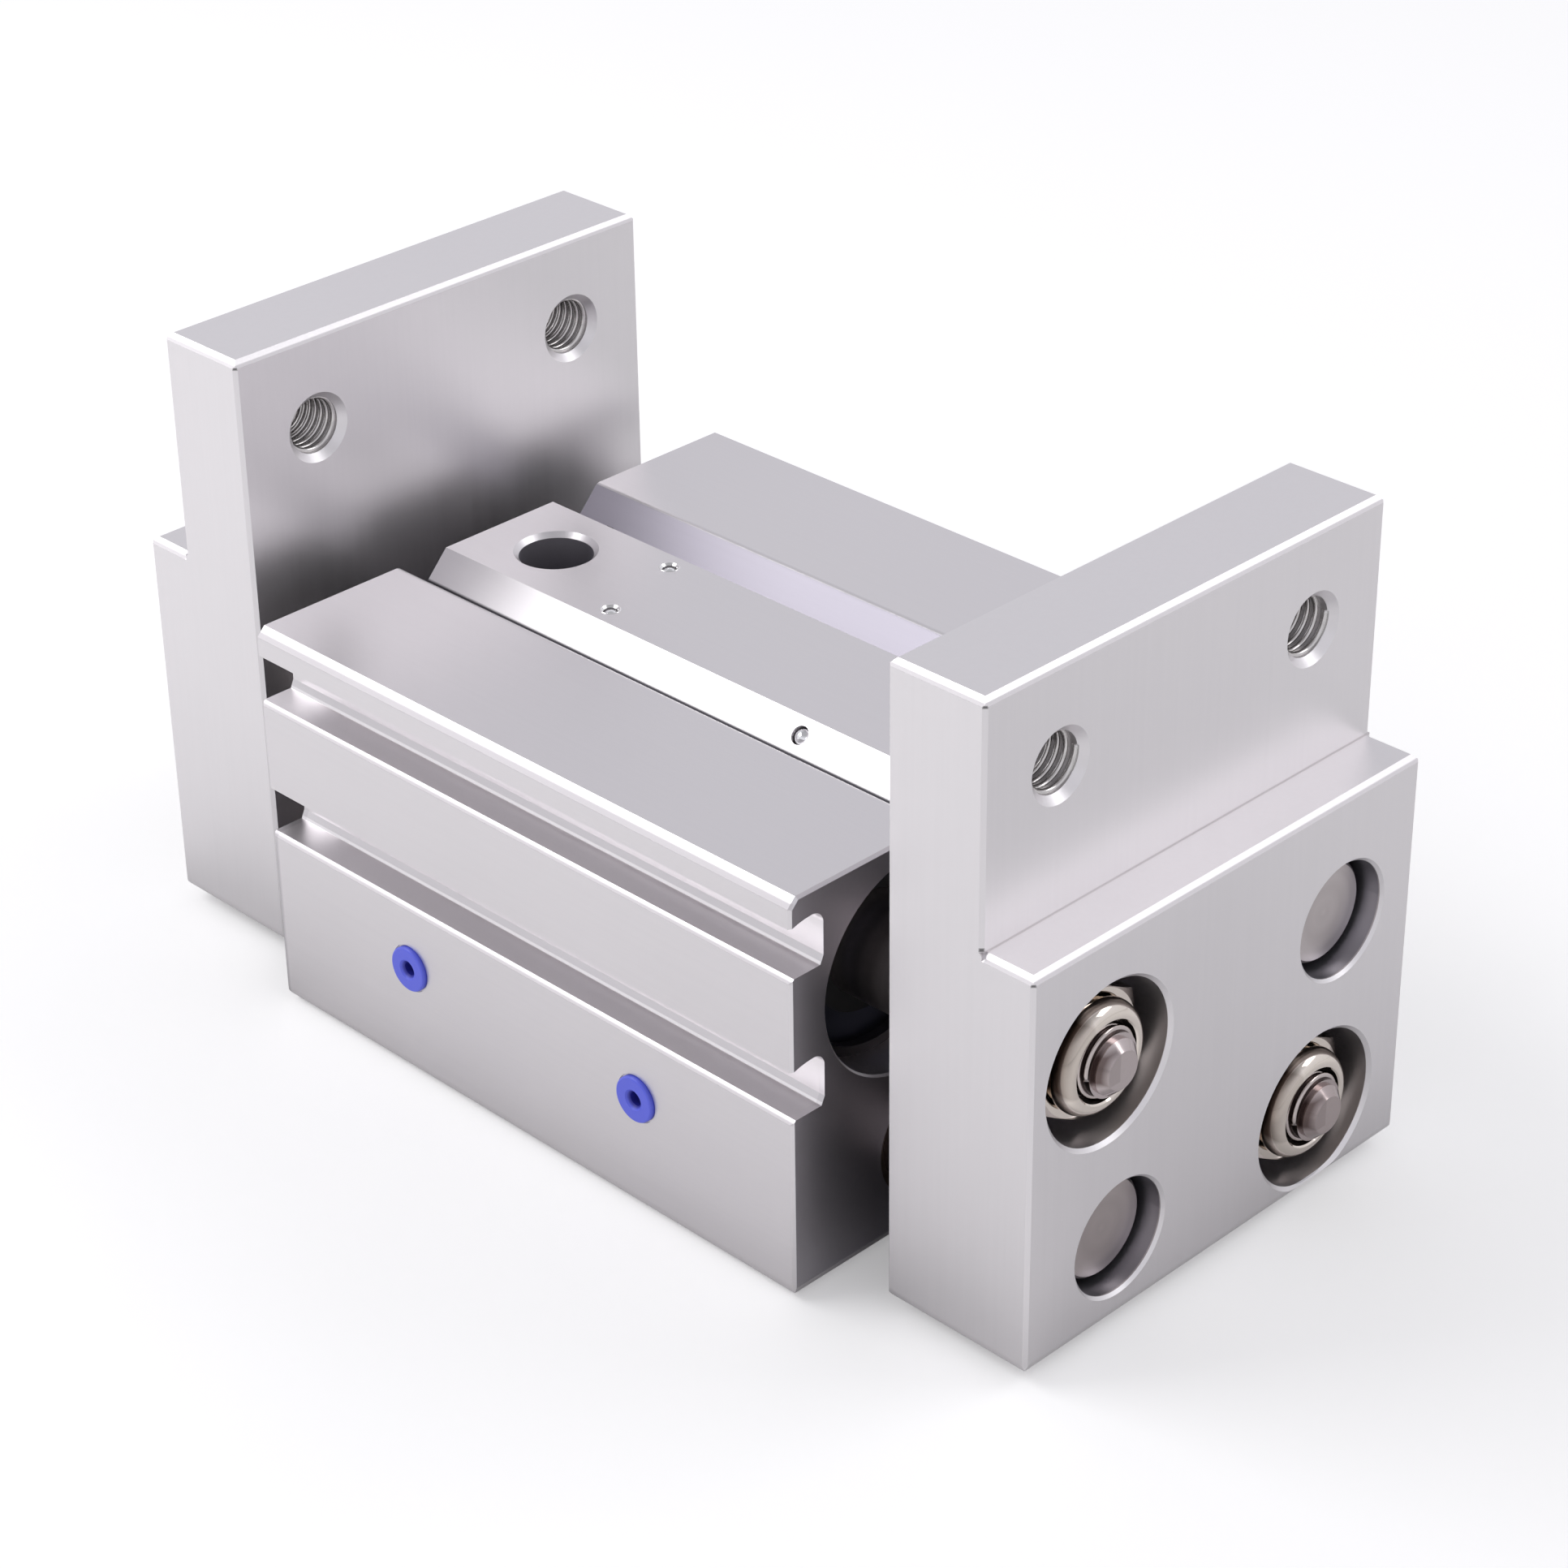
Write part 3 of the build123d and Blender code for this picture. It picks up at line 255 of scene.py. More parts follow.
def buildBlockMask():
    # mask of an upright block: 1 inside, fading to 0 over a short distance at its sides
    group, entry, out = newGroup(
        "blockMask",
        [
            ("Middle", "NodeSocketVector", (0, 0, 0)),
            ("Half Size", "NodeSocketVector", (1, 1, 1)),
            ("Fade", "NodeSocketVector", (0.0001, 0.0001, 0.0001)),
        ],
        [("Mask", "NodeSocketFloat")],
    )
    link = group.links.new
    coords = addNode(group, "ShaderNodeTexCoord")
    shift = addNode(group, "ShaderNodeVectorMath", operation="SUBTRACT")
    span = addNode(group, "ShaderNodeVectorMath", operation="ABSOLUTE")
    depth = addNode(group, "ShaderNodeVectorMath", operation="SUBTRACT")
    share = addNode(group, "ShaderNodeVectorMath", operation="DIVIDE")
    split = addNode(group, "ShaderNodeSeparateXYZ")
    leastXy = addNode(group, "ShaderNodeMath", operation="MINIMUM")
    least = addNode(group, "ShaderNodeMath", operation="MINIMUM")
    fade = addNode(group, "ShaderNodeMapRange")
    link(coords.outputs["Object"], shift.inputs[0])
    link(entry.outputs["Middle"], shift.inputs[1])
    link(shift.outputs[0], span.inputs[0])
    link(entry.outputs["Half Size"], depth.inputs[0])
    link(span.outputs[0], depth.inputs[1])
    link(depth.outputs[0], share.inputs[0])
    link(entry.outputs["Fade"], share.inputs[1])
    link(share.outputs[0], split.inputs[0])
    link(split.outputs["X"], leastXy.inputs[0])
    link(split.outputs["Y"], leastXy.inputs[1])
    link(leastXy.outputs[0], least.inputs[0])
    link(split.outputs["Z"], least.inputs[1])
    link(least.outputs[0], fade.inputs["Value"])
    link(fade.outputs["Result"], out.inputs["Mask"])
    return group


def buildLathed():
    # turning marks: fine rings about an axis along X through a given point
    group, entry, out = newGroup(
        "lathedRings",
        [
            ("Centre", "NodeSocketVector", (0, 0, 0)),
            ("Ring Scale", "NodeSocketFloat", 1500.0),
        ],
        [("Height", "NodeSocketFloat"), ("Streak", "NodeSocketFloat")],
    )
    link = group.links.new
    coords = addNode(group, "ShaderNodeTexCoord")
    shift = addNode(group, "ShaderNodeVectorMath", operation="SUBTRACT")
    link(coords.outputs["Object"], shift.inputs[0])
    link(entry.outputs["Centre"], shift.inputs[1])
    flat = addNode(group, "ShaderNodeVectorMath", operation="MULTIPLY")
    flat.inputs[1].default_value = (0, 1, 1)
    link(shift.outputs[0], flat.inputs[0])
    radius = addNode(group, "ShaderNodeVectorMath", operation="LENGTH")
    link(flat.outputs[0], radius.inputs[0])
    split = addNode(group, "ShaderNodeSeparateXYZ")
    link(shift.outputs[0], split.inputs[0])
    join = addNode(group, "ShaderNodeCombineXYZ")
    link(radius.outputs["Value"], join.inputs["X"])
    link(split.outputs["X"], join.inputs["Y"])
    rings = addNode(group, "ShaderNodeTexNoise", Detail=3.0)
    link(join.outputs[0], rings.inputs["Vector"])
    link(entry.outputs["Ring Scale"], rings.inputs["Scale"])
    streak = addNode(group, "ShaderNodeTexNoise", Scale=grainDetail["bandScale"], Detail=2.0)
    link(join.outputs[0], streak.inputs["Vector"])
    link(rings.outputs["Fac"], out.inputs["Height"])
    link(streak.outputs["Fac"], out.inputs["Streak"])
    return group


satinGrain = buildSatinGrain()
lathedRings = buildLathed()
recessMask = buildRecess()
blockMask = buildBlockMask()


# Zones: places on a piece whose tint and roughness differ
def sidedSpan(side, span, middle=0.0):
    # low and high end of a span that runs from a middle towards one side
    return sorted(middle + side * value for value in span)


def blockZone(spanX, spanY, spanZ, look):
    low, high = (Vector(corner) for corner in zip(spanX, spanY, spanZ))
    fade = look.get("fade", 0.0001)  # one length, or one for each axis
    fades = (fade, fade, fade) if isinstance(fade, float) else fade
    inputs = {"Middle": (low + high) / 2, "Half Size": (high - low) / 2, "Fade": fades}
    return {"group": blockMask, "inputs": inputs, "look": look}


def recessZone(centre, spanX, look):
    inputs = {"Centre": centre, "Radius": look["radius"], "Low X": spanX[0], "High X": spanX[1]}
    return {"group": recessMask, "inputs": inputs, "look": look}


def applyZones(tree, zones, colour, rough):
    # each zone tints the colour and sets its own roughness where its mask is 1
    link = tree.links.new
    for zone in zones:
        mask = addNode(tree, "ShaderNodeGroup")
        mask.node_tree = zone["group"]
        for label, value in zone["inputs"].items():
            mask.inputs[label].default_value = value
        shade = addNode(tree, "ShaderNodeMix", data_type="RGBA", blend_type="MULTIPLY")
        shade.inputs["B"].default_value = (*zone["look"]["tint"], 1)
        finish = addNode(tree, "ShaderNodeMix", data_type="FLOAT")
        finish.inputs["B"].default_value = zone["look"]["roughness"]
        link(mask.outputs["Mask"], shade.inputs["Factor"])
        link(mask.outputs["Mask"], finish.inputs["Factor"])
        link(colour, shade.inputs["A"])
        link(rough, finish.inputs["A"])
        colour = shade.outputs["Result"]
        rough = finish.outputs["Result"]
    return colour, rough


def finishSurface(tree, look, zones, colour, rough, height):
    # zones and fine relief, then the shader and the output
    link = tree.links.new
    shader = addNode(tree, "ShaderNodeBsdfPrincipled", Metallic=look["metallic"])
    output = addNode(tree, "ShaderNodeOutputMaterial")
    bump = addNode(tree, "ShaderNodeBump", Strength=look["bump"], Distance=look["bumpDepth"])
    colour, rough = applyZones(tree, zones, colour, rough)
    link(colour, shader.inputs["Base Color"])
    link(rough, shader.inputs["Roughness"])
    link(height, bump.inputs["Height"])
    link(bump.outputs["Normal"], shader.inputs["Normal"])
    link(shader.outputs[0], output.inputs["Surface"])


def satinFinish(name, look, zones=()):
    material, tree = newMaterial(name)
    grain = addNode(tree, "ShaderNodeGroup")
    grain.node_tree = satinGrain
    grain.inputs["Base"].default_value = (*look["colour"], 1)
    for label, key in (
        ("Roughness", "roughness"),
        ("Grain Scale", "grainScale"),
        ("Cloud Scale", "cloudScale"),
        ("Tone Change", "toneChange"),
        ("Streak Stretch", "streakStretch"),
        ("Streak Change", "streakChange"),
    ):
        grain.inputs[label].default_value = look[key]
    outputs = (grain.outputs[label] for label in ("Color", "Roughness", "Height"))
    finishSurface(tree, look, zones, *outputs)
    return material


def turnedFinish(name, look, centre, zones=()):
    material, tree = newMaterial(name)
    rings = addNode(tree, "ShaderNodeGroup")
    rings.node_tree = lathedRings
    rings.inputs["Centre"].default_value = centre
    rings.inputs["Ring Scale"].default_value = look["ringScale"]
    tint = addNode(tree, "ShaderNodeMix", data_type="RGBA")
    tint.inputs["A"].default_value = (*look["dark"], 1)
    tint.inputs["B"].default_value = (*look["colour"], 1)
    rough = addNode(tree, "ShaderNodeMapRange")
    least, most = look["roughnessShare"]
    rough.inputs["To Min"].default_value = look["roughness"] * least
    rough.inputs["To Max"].default_value = look["roughness"] * most
    tree.links.new(rings.outputs["Streak"], tint.inputs["Factor"])
    tree.links.new(rings.outputs["Streak"], rough.inputs["Value"])
    outputs = (tint.outputs["Result"], rough.outputs["Result"], rings.outputs["Height"])
    finishSurface(tree, look, zones, *outputs)
    return material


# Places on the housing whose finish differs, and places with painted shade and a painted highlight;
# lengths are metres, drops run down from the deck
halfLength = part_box("body_housing")[1].x
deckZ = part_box("body_housing")[1].z
pistonAxisZ = sum(corner.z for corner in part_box("piston_rod_right")) / 2
wholeLength = (-halfLength, halfLength)
housingZones = []

# painted shade over each whole end face, which faces the finger across the narrow gap, with a
# slightly rougher finish
shadedEndFace = {
    "spanX": (-0.00004, 0.0001),  # from the end face outwards
    "spanY": (-0.05, 0.05),
    "spanZ": (0, 0.07),
    "tint": (0.66, 0.655, 0.68),
    "roughness": 0.4,
    "fade": 0.00002,
}
for side in (1, -1):
    spanX = sidedSpan(side, shadedEndFace["spanX"], side * halfLength)
    housingZones.append(blockZone(spanX, shadedEndFace["spanY"], shadedEndFace["spanZ"], shadedEndFace))

shadedGrooveWall = {
    # the back wall of the back groove, milled and left rough, and darkened with painted shade
    "spanX": (-0.06, 0.06),
    "spanY": (0.0146, 0.01835),
    "drops": (-0.0042, -0.00005),
    "tint": (0.70, 0.69, 0.76),
    "roughness": 0.56,
}
grooveFootShade = {
    # painted shade along the foot of the front groove's wall
    "spanX": (-0.06, 0.06),
    "spanY": (-0.0148, -0.0130),
    "drops": (-0.0042, -0.0035),
    "tint": (0.10, 0.10, 0.11),
    "roughness": 0.6,
    "fade": 0.00025,
}
for look in (shadedGrooveWall, grooveFootShade):
    spanZ = sidedSpan(1, look["drops"], deckZ)
    housingZones.append(blockZone(look["spanX"], look["spanY"], spanZ, look))

# painted shade inside the two mounting holes, below the chamfer at their mouth
shadedHole = {
    "spanX": (0.0325, 0.0435),
    "spanY": (-0.0055, 0.0055),
    "mouth": 0.00075,  # the chamfer keeps the deck's finish
    "tint": (0.7, 0.7, 0.74),
    "roughness": 0.45,
}
for side in (-1, 1):
    spanX = sidedSpan(side, shadedHole["spanX"])
    spanZ = (0, deckZ - shadedHole["mouth"])
    housingZones.append(blockZone(spanX, shadedHole["spanY"], spanZ, shadedHole))

endFootShade = {
    # painted shade on the foot of each end face, low in the gap to the finger
    "spanX": (-0.00105, 0.001),  # from the end face outwards
    "spanY": (-0.0405, 0.06),
    "spanZ": (-0.014, 0.031),
    "tint": (0.52, 0.52, 0.54),
    "roughness": 0.42,
    "fade": (0.001, 0.012, 0.014),
}
for side in (-1, 1):
    spanX = sidedSpan(side, endFootShade["spanX"], side * halfLength)
    spanY = sidedSpan(side, endFootShade["spanY"])
    housingZones.append(blockZone(spanX, spanY, endFootShade["spanZ"], endFootShade))

dullEdge = {
    # the outer parts of the cut edges are blasted dull, so that their gloss is a narrow line
    "tint": (1.0, 1.0, 1.0),
    "roughness": 0.72,
    "fade": 0.0002,
    "topDrops": (-0.00150, -0.00062),
    "topY": (0.0421, 0.0440),
    "lipDrops": (-0.00080, -0.00020),  # from the slot's floor
    "lipY": (0.0426, 0.0440),
    "fingerDrops": (-0.00100, -0.00050),  # from a finger's upper faces
    "fingerDepth": 0.00040,  # in from its outer faces
    "fingerFade": 0.0001,
}
slotFloors = [pistonAxisZ + rise for rise in (-0.0133, 0.0070)]
for side in (-1, 1):
    edges = [(deckZ, "top")] + [(floorZ, "lip") for floorZ in slotFloors]
    for edgeZ, kind in edges:
        spanY = sidedSpan(side, dullEdge[f"{kind}Y"])
        spanZ = sidedSpan(1, dullEdge[f"{kind}Drops"], edgeZ)
        housingZones.append(blockZone(wholeLength, spanY, spanZ, dullEdge))

slotFootHighlight = {
    # painted highlight: a bright line along the foot of each slot
    "spanY": (0.0376, 0.0381),
    "rises": (-0.0001, 0.0004),
    "tint": (1.34, 1.345, 1.33),
    "roughness": 0.3,
}
for side in (-1, 1):
    for floorZ in slotFloors:
        spanY = sidedSpan(side, slotFootHighlight["spanY"])
        spanZ = sidedSpan(1, slotFootHighlight["rises"], floorZ)
        housingZones.append(blockZone(wholeLength, spanY, spanZ, slotFootHighlight))

# Finishes: one dictionary for each, colours are linear
anodised = {
    "colour": (0.745, 0.72, 0.735),
    "metallic": 1.0,
    "roughness": 0.36,
    "grainScale": 2600.0,
    "cloudScale": 28.0,
    "toneChange": 0.05,
    "streakStretch": (0.01, 1, 1),  # drawn along X
    "streakChange": 0.05,
    "bump": 0.14,
    "bumpDepth": 0.00004,
}
fingerAnodised = dict(
    anodised,
    colour=(0.795, 0.772, 0.785),
    roughness=0.42,
    streakStretch=(1, 1, 0.02),  # milled upright
)
darkAnodised = dict(anodised, colour=(0.075, 0.08, 0.11), roughness=0.34)
turnedAluminium = dict(anodised, colour=(0.55, 0.55, 0.56), roughness=0.3)
springSteel = dict(anodised, colour=(0.13, 0.12, 0.12), roughness=0.35)
gearSteel = dict(anodised, colour=(0.42, 0.42, 0.43), roughness=0.3)
bronze = dict(anodised, colour=(0.11, 0.088, 0.072), roughness=0.5)
cutThread = dict(turnedAluminium, colour=(0.66, 0.64, 0.63), roughness=0.2)
nickel = {
    "colour": (0.80, 0.73, 0.66),
    "metallic": 1.0,
    "roughness": 0.08,
    "grainScale": 1800.0,
    "cloudScale": 160.0,
    "toneChange": 0.10,
    "streakStretch": (1, 1, 1),
    "streakChange": 0.05,
    "bump": 0.10,
    "bumpDepth": 0.00003,
}
ballSteel = dict(nickel, colour=(0.92, 0.92, 0.93), roughness=0.03, toneChange=0.02)
studThreadSteel = dict(nickel, colour=(0.56, 0.50, 0.48), roughness=0.14)
groundSteel = {
    "colour": (0.64, 0.59, 0.585),
    "dark": (0.44, 0.40, 0.395),
    "metallic": 1.0,
    "roughness": 0.3,
    "roughnessShare": (0.8, 1.25),
    "ringScale": 1600.0,
    "bump": 0.25,
    "bumpDepth": 0.00004,
}
rackSteel = dict(groundSteel, colour=(0.53, 0.475, 0.465), dark=(0.38, 0.335, 0.33))
blackRubber = {
    "colour": (0.02, 0.02, 0.02),
    "metallic": 0.0,
    "roughness": 0.55,
    "grainScale": 900.0,
    "cloudScale": 200.0,
    "toneChange": 0.2,
    "streakStretch": (1, 1, 1),
    "streakChange": 0.03,
    "bump": 0.3,
    "bumpDepth": 0.00005,
}
palePlastic = dict(blackRubber, colour=(0.6, 0.56, 0.45), roughness=0.45)
darkPlastic = dict(blackRubber, colour=(0.03, 0.03, 0.035), roughness=0.5)
bluePlastic = dict(blackRubber, colour=(0.105, 0.13, 0.74), roughness=0.36, toneChange=0.12)

# painted shade inside the dimple in each port plug's face
plugDimpleShade = {
    "halfWidth": 0.0016,
    "depths": (0.00015, 0.003),  # behind the plug's face
    "tint": (0.22, 0.2, 0.42),
    "roughness": 0.5,
    "fade": 0.00025,
}
plugZones = []
for sideName in ("right", "left"):
    plugLow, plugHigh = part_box(f"port_plug_{sideName}")
    middle = (plugLow + plugHigh) / 2
    square = (-plugDimpleShade["halfWidth"], plugDimpleShade["halfWidth"])
    spanX = sidedSpan(1, square, middle.x)
    spanY = sidedSpan(1, plugDimpleShade["depths"], plugLow.y)
    spanZ = sidedSpan(1, square, middle.z)
    plugZones.append(blockZone(spanX, spanY, spanZ, plugDimpleShade))

slotMaterials = {
    "housing_aluminium": satinFinish("housing_aluminium", anodised, housingZones),
    "cover_aluminium": satinFinish("cover_aluminium", darkAnodised),
    "piston_aluminium": satinFinish("piston_aluminium", turnedAluminium),
    "spring_steel": satinFinish("spring_steel", springSteel),
    "gear_steel": satinFinish("gear_steel", gearSteel),
    "ball_steel": satinFinish("ball_steel", ballSteel),
    "bush_bronze": satinFinish("bush_bronze", bronze),
    "seal_rubber": satinFinish("seal_rubber", blackRubber),
    "cushion_rubber": satinFinish("cushion_rubber", blackRubber),
    "magnet_compound": satinFinish("magnet_compound", darkPlastic),
    "wear_plastic": satinFinish("wear_plastic", palePlastic),
    "plug_plastic": satinFinish("plug_plastic", bluePlastic, plugZones),
}
threadMetal = satinFinish("cut_thread", cutThread)
studThreadMetal = satinFinish("stud_thread_steel", studThreadSteel)


def dressNode(name, material):
    mesh = nodes[name].data
    mesh.materials.clear()
    mesh.materials.append(material)


for entry in frame["record"]["subparts"]:
    if entry["material_slot"] in slotMaterials:
        dressNode(entry["node"], slotMaterials[entry["material_slot"]])


def darkReflectionZone(look, centre, side):
    # brownish painted dark reflection on the front upper side of a nut or stud, turned half round
    # on the left jaw
    spanX = sidedSpan(side, look["spanX"])
    spanY = sidedSpan(side, look["spanY"], centre.y)
    return blockZone(spanX, spanY, sidedSpan(1, look["spanZ"], centre.z), look)


# Rods, turned and ground, each with its stud
studFinish = {
    "spanX": (0.070, 0.090),
    "radius": 0.0052,
    "tint": (1.0, 0.96, 0.96),
    "roughness": 0.17,
}
# painted dark reflection on the upper front of each stud's tip and thread
studDarkReflection = {
    "spanX": (0.078, 0.0842),
    "spanY": (-0.0055, -0.0004),  # from the rod's axis
    "spanZ": (-0.0014, 0.0034),
    "tint": (0.30, 0.26, 0.25),
    "roughness": 0.2,
    "fade": 0.0009,
}
# painted shade in the roots between the stud's thread turns
studRootShade = {"spanX": (0.078, 0.08238), "radius": 0.0044, "tint": (0.22, 0.2, 0.2), "roughness": 0.3}
rodCentres = {}
for rodName in ("piston_rod_right", "piston_rod_left", "rack_rod_right", "rack_rod_left"):
    low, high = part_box(rodName)
    centre = Vector((0, (low.y + high.y) / 2, (low.z + high.z) / 2))
    rodCentres[rodName] = centre
    side = 1 if rodName.endswith("right") else -1
    zones = [
        recessZone(centre, sidedSpan(side, studFinish["spanX"]), studFinish),
        darkReflectionZone(studDarkReflection, centre, side),
        recessZone(centre, sidedSpan(side, studRootShade["spanX"]), studRootShade),
    ]
    steel = rackSteel if rodName.startswith("rack") else groundSteel
    dressNode(rodName, turnedFinish(f"{rodName}_steel", steel, centre, zones))

# Fingers, with painted shade in their machined recesses and narrow bright edges
# painted shade on the walls and floors of the nut pockets and rod recesses
fingerRecessShade = {
    "nut": {"radius": 0.0112, "tint": (0.74, 0.735, 0.75), "roughness": 0.36},
    "rod": {"radius": 0.0081, "tint": (0.60, 0.615, 0.66), "roughness": 0.36},
    "nutDepth": 0.0142,
    "rim": 0.0006,  # the mouth chamfer keeps the face's finish
}
stepCornerShade = {
    # painted shade along the corner between the lug and the step
    "spanX": (0.0737, 0.07425),
    "spanY": (-0.04, 0.04),
    "rises": (-0.0003, 0.00025),
    "tint": (0.84, 0.83, 0.83),
    "roughness": 0.4,
    "fade": 0.0001,
}
darkCornerFacet = {
    # small dark facets where three cut edges meet
    "lugSpots": ((0.074, -0.036), (0.059, 0.036)),
    "stepSpot": (0.082, -0.036),
    "footSpot": (0.074, -0.036),
    "edgeDrops": (-0.0012, -0.0007),
    "footRises": (0.0001, 0.0007),
    "reach": 0.00055,
    "tint": (0.25, 0.25, 0.25),
    "roughness": 0.4,
    "fade": 0.00016,
}


def fingerEdgeZones(side, low, high, innerX, outerX):
    depth = dullEdge["fingerDepth"]
    around = (-depth, depth)
    look = dict(dullEdge, fade=dullEdge["fingerFade"])
    lugEdgeZ = sidedSpan(1, dullEdge["fingerDrops"], high.z)
    stepEdgeZ = sidedSpan(1, dullEdge["fingerDrops"], deckZ)
    lugX = sidedSpan(side, (innerX, stepCornerShade["spanX"][0]))
    stepX = sidedSpan(side, (stepCornerShade["spanX"][1], outerX))
    lugX = (lugX[0] - depth, lugX[1] + depth)
    return [
        blockZone(lugX, (low.y - depth, high.y + depth), lugEdgeZ, look),
        blockZone(sidedSpan(side, around, side * outerX), (low.y, high.y), stepEdgeZ, look),
        blockZone(stepX, sidedSpan(1, around, low.y), stepEdgeZ, look),
        blockZone(stepX, sidedSpan(1, around, high.y), stepEdgeZ, look),
    ]


def darkCornerZones(side, lugTopZ):
    spots = [(spot, lugTopZ, "edgeDrops") for spot in darkCornerFacet["lugSpots"]]
    spots.append((darkCornerFacet["stepSpot"], deckZ, "edgeDrops"))
    spots.append((darkCornerFacet["footSpot"], deckZ, "footRises"))
    around = (-darkCornerFacet["reach"], darkCornerFacet["reach"])
    zones = []
    for (spotX, spotY), baseZ, heights in spots:
        spanX = sidedSpan(1, around, side * spotX)
        spanY = sidedSpan(1, around, side * spotY)
        spanZ = sidedSpan(1, darkCornerFacet[heights], baseZ)
        zones.append(blockZone(spanX, spanY, spanZ, darkCornerFacet))
    return zones


for side, sideName in ((1, "right"), (-1, "left")):
    fingerLow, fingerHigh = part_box(f"finger_{sideName}")
    outerX = max(abs(fingerLow.x), abs(fingerHigh.x))
    innerX = min(abs(fingerLow.x), abs(fingerHigh.x))
    zones = []
    for rodName, centre in rodCentres.items():
        isNut = rodName.endswith(sideName)
        deep = outerX - fingerRecessShade["nutDepth"] if isNut else innerX + fingerRecessShade["rim"]
        spanX = sidedSpan(side, (deep, outerX - fingerRecessShade["rim"]))
        zones.append(recessZone(centre, spanX, fingerRecessShade["nut" if isNut else "rod"]))
    lineX = sidedSpan(side, stepCornerShade["spanX"])
    lineZ = sidedSpan(1, stepCornerShade["rises"], deckZ)
    zones.append(blockZone(lineX, stepCornerShade["spanY"], lineZ, stepCornerShade))
    zones += fingerEdgeZones(side, fingerLow, fingerHigh, innerX, outerX)
    zones += darkCornerZones(side, fingerHigh.z)
    material = satinFinish(f"finger_{sideName}_aluminium", fingerAnodised, zones)
    dressNode(f"finger_{sideName}", material)
print("gripper: materials on the CAD nodes")


# Screw threads: a triangular ridge wound round each stud and inside each tapped hole
ridgeLook = {
    "stepsPerTurn": 40,
    "crestShare": 0.2,  # width of the flat crest as a share of the pitch
    "rootShare": 0.94,
    "runOut": 0.9,  # length over which the ridge rises from the wall, in pitches
    "leastRise": 0.02,  # what is left of its height at the very end
    "sink": 0.00003,  # how far the ridge's foot goes into the wall it stands on
}


def windThread(name, body, material, start, axis, length, thread):
    start, axis = Vector(start), Vector(axis)
    outward = Vector((1, 0, 0)) if axis.z else Vector((0, 0, 1))
    isInside = thread["crestRadius"] < thread["rootRadius"]
    foot = thread["rootRadius"] + (ridgeLook["sink"] if isInside else -ridgeLook["sink"])
    pitch = thread["pitch"]
    halfRoot = pitch * ridgeLook["rootShare"] / 2
    halfCrest = pitch * ridgeLook["crestShare"] / 2
    first = start + axis * halfRoot
    section = [
        (foot, -halfRoot),
        (thread["crestRadius"], -halfCrest),
        (thread["crestRadius"], halfCrest),
        (foot, halfRoot),
    ]
    ridge = bmesh.new()
    corners = [ridge.verts.new(first + outward * r + axis * along) for r, along in section]
    face = ridge.faces.new(corners)
    turns = (length - 2 * halfRoot) / pitch
    steps = int(turns * ridgeLook["stepsPerTurn"])
    bmesh.ops.spin(
        ridge,
        geom=[face, *face.edges, *face.verts],
        cent=first,
        axis=axis,
        dvec=axis * (turns * pitch / steps),
        angle=turns * tau,
        steps=steps,
        use_merge=False,
        use_duplicate=False,
    )
    runOut = pitch * ridgeLook["runOut"]
    for vert in ridge.verts:  # the ridge runs out into the wall at both ends
        reach = (vert.co - start).dot(axis)
        rise = max(ridgeLook["leastRise"], min(1.0, reach / runOut, (length - reach) / runOut))
        onAxis = start + axis * reach
        radial = vert.co - onAxis
        vert.co = onAxis + radial.normalized() * (foot + (radial.length - foot) * rise)
    bmesh.ops.recalc_face_normals(ridge, faces=ridge.faces)
    piece = makePiece(name, ridge, material)
    piece.data.shade_smooth()
    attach(piece, body)


lugThread = {
    "pitch": 0.00125,
    "rootRadius": 0.004,
    "crestRadius": 0.0035,
    "holeLength": 0.015,
    "mouth": 0.0008,  # chamfer left clear at each end
    "holeY": 0.023,
    "holeZ": 0.078,
}
for side, sideName in ((1, "right"), (-1, "left")):
    fingerLow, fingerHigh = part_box(f"finger_{sideName}")
    innerX = fingerLow.x if side > 0 else fingerHigh.x
    for end, endName in ((-1, "front"), (1, "back")):
        windThread(
            f"lug_thread_{sideName}_{endName}",
            f"{sideName}_jaw",
            threadMetal,
            (innerX + side * lugThread["mouth"], end * lugThread["holeY"], lugThread["holeZ"]),
            (side, 0, 0),
            lugThread["holeLength"] - 2 * lugThread["mouth"],
            lugThread,
        )

studThread = {
    "pitch": 0.001,
    "rootRadius": 0.00425,
    "crestRadius": 0.0049,
    "overhang": 0.002,  # how far the stud stands out of the finger
    "tipLength": 0.0016,
    "length": 0.0032,
}
for side, sideName in ((1, "right"), (-1, "left")):
    fingerLow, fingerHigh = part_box(f"finger_{sideName}")
    outerX = fingerHigh.x if side > 0 else fingerLow.x
    threadEnd = outerX + side * (studThread["overhang"] - studThread["tipLength"])
    for kind in ("piston", "rack"):
        centre = rodCentres[f"{kind}_rod_{sideName}"]
        windThread(
            f"stud_thread_{kind}_{sideName}",
            f"{sideName}_jaw",
            studThreadMetal,
            (threadEnd - side * studThread["length"], centre.y, centre.z),
            (side, 0, 0),
            studThread["length"],
            studThread,
        )

baseThread = {
    "pitch": 0.00125,
    "rootRadius": 0.004,
    "crestRadius": 0.00335,
    "mouth": 0.0006,
    "depth": 0.0145,
    "holeX": 0.038,
    "holeY": 0.033,
}
for side, sideName in ((1, "right"), (-1, "left")):
    for end, endName in ((-1, "front"), (1, "back")):
        windThread(
            f"base_thread_{sideName}_{endName}",
            "housing",
            threadMetal,
            (side * baseThread["holeX"], end * baseThread["holeY"], baseThread["mouth"]),
            (0, 0, 1),
            baseThread["depth"],
            baseThread,
        )
print("gripper: threads wound")

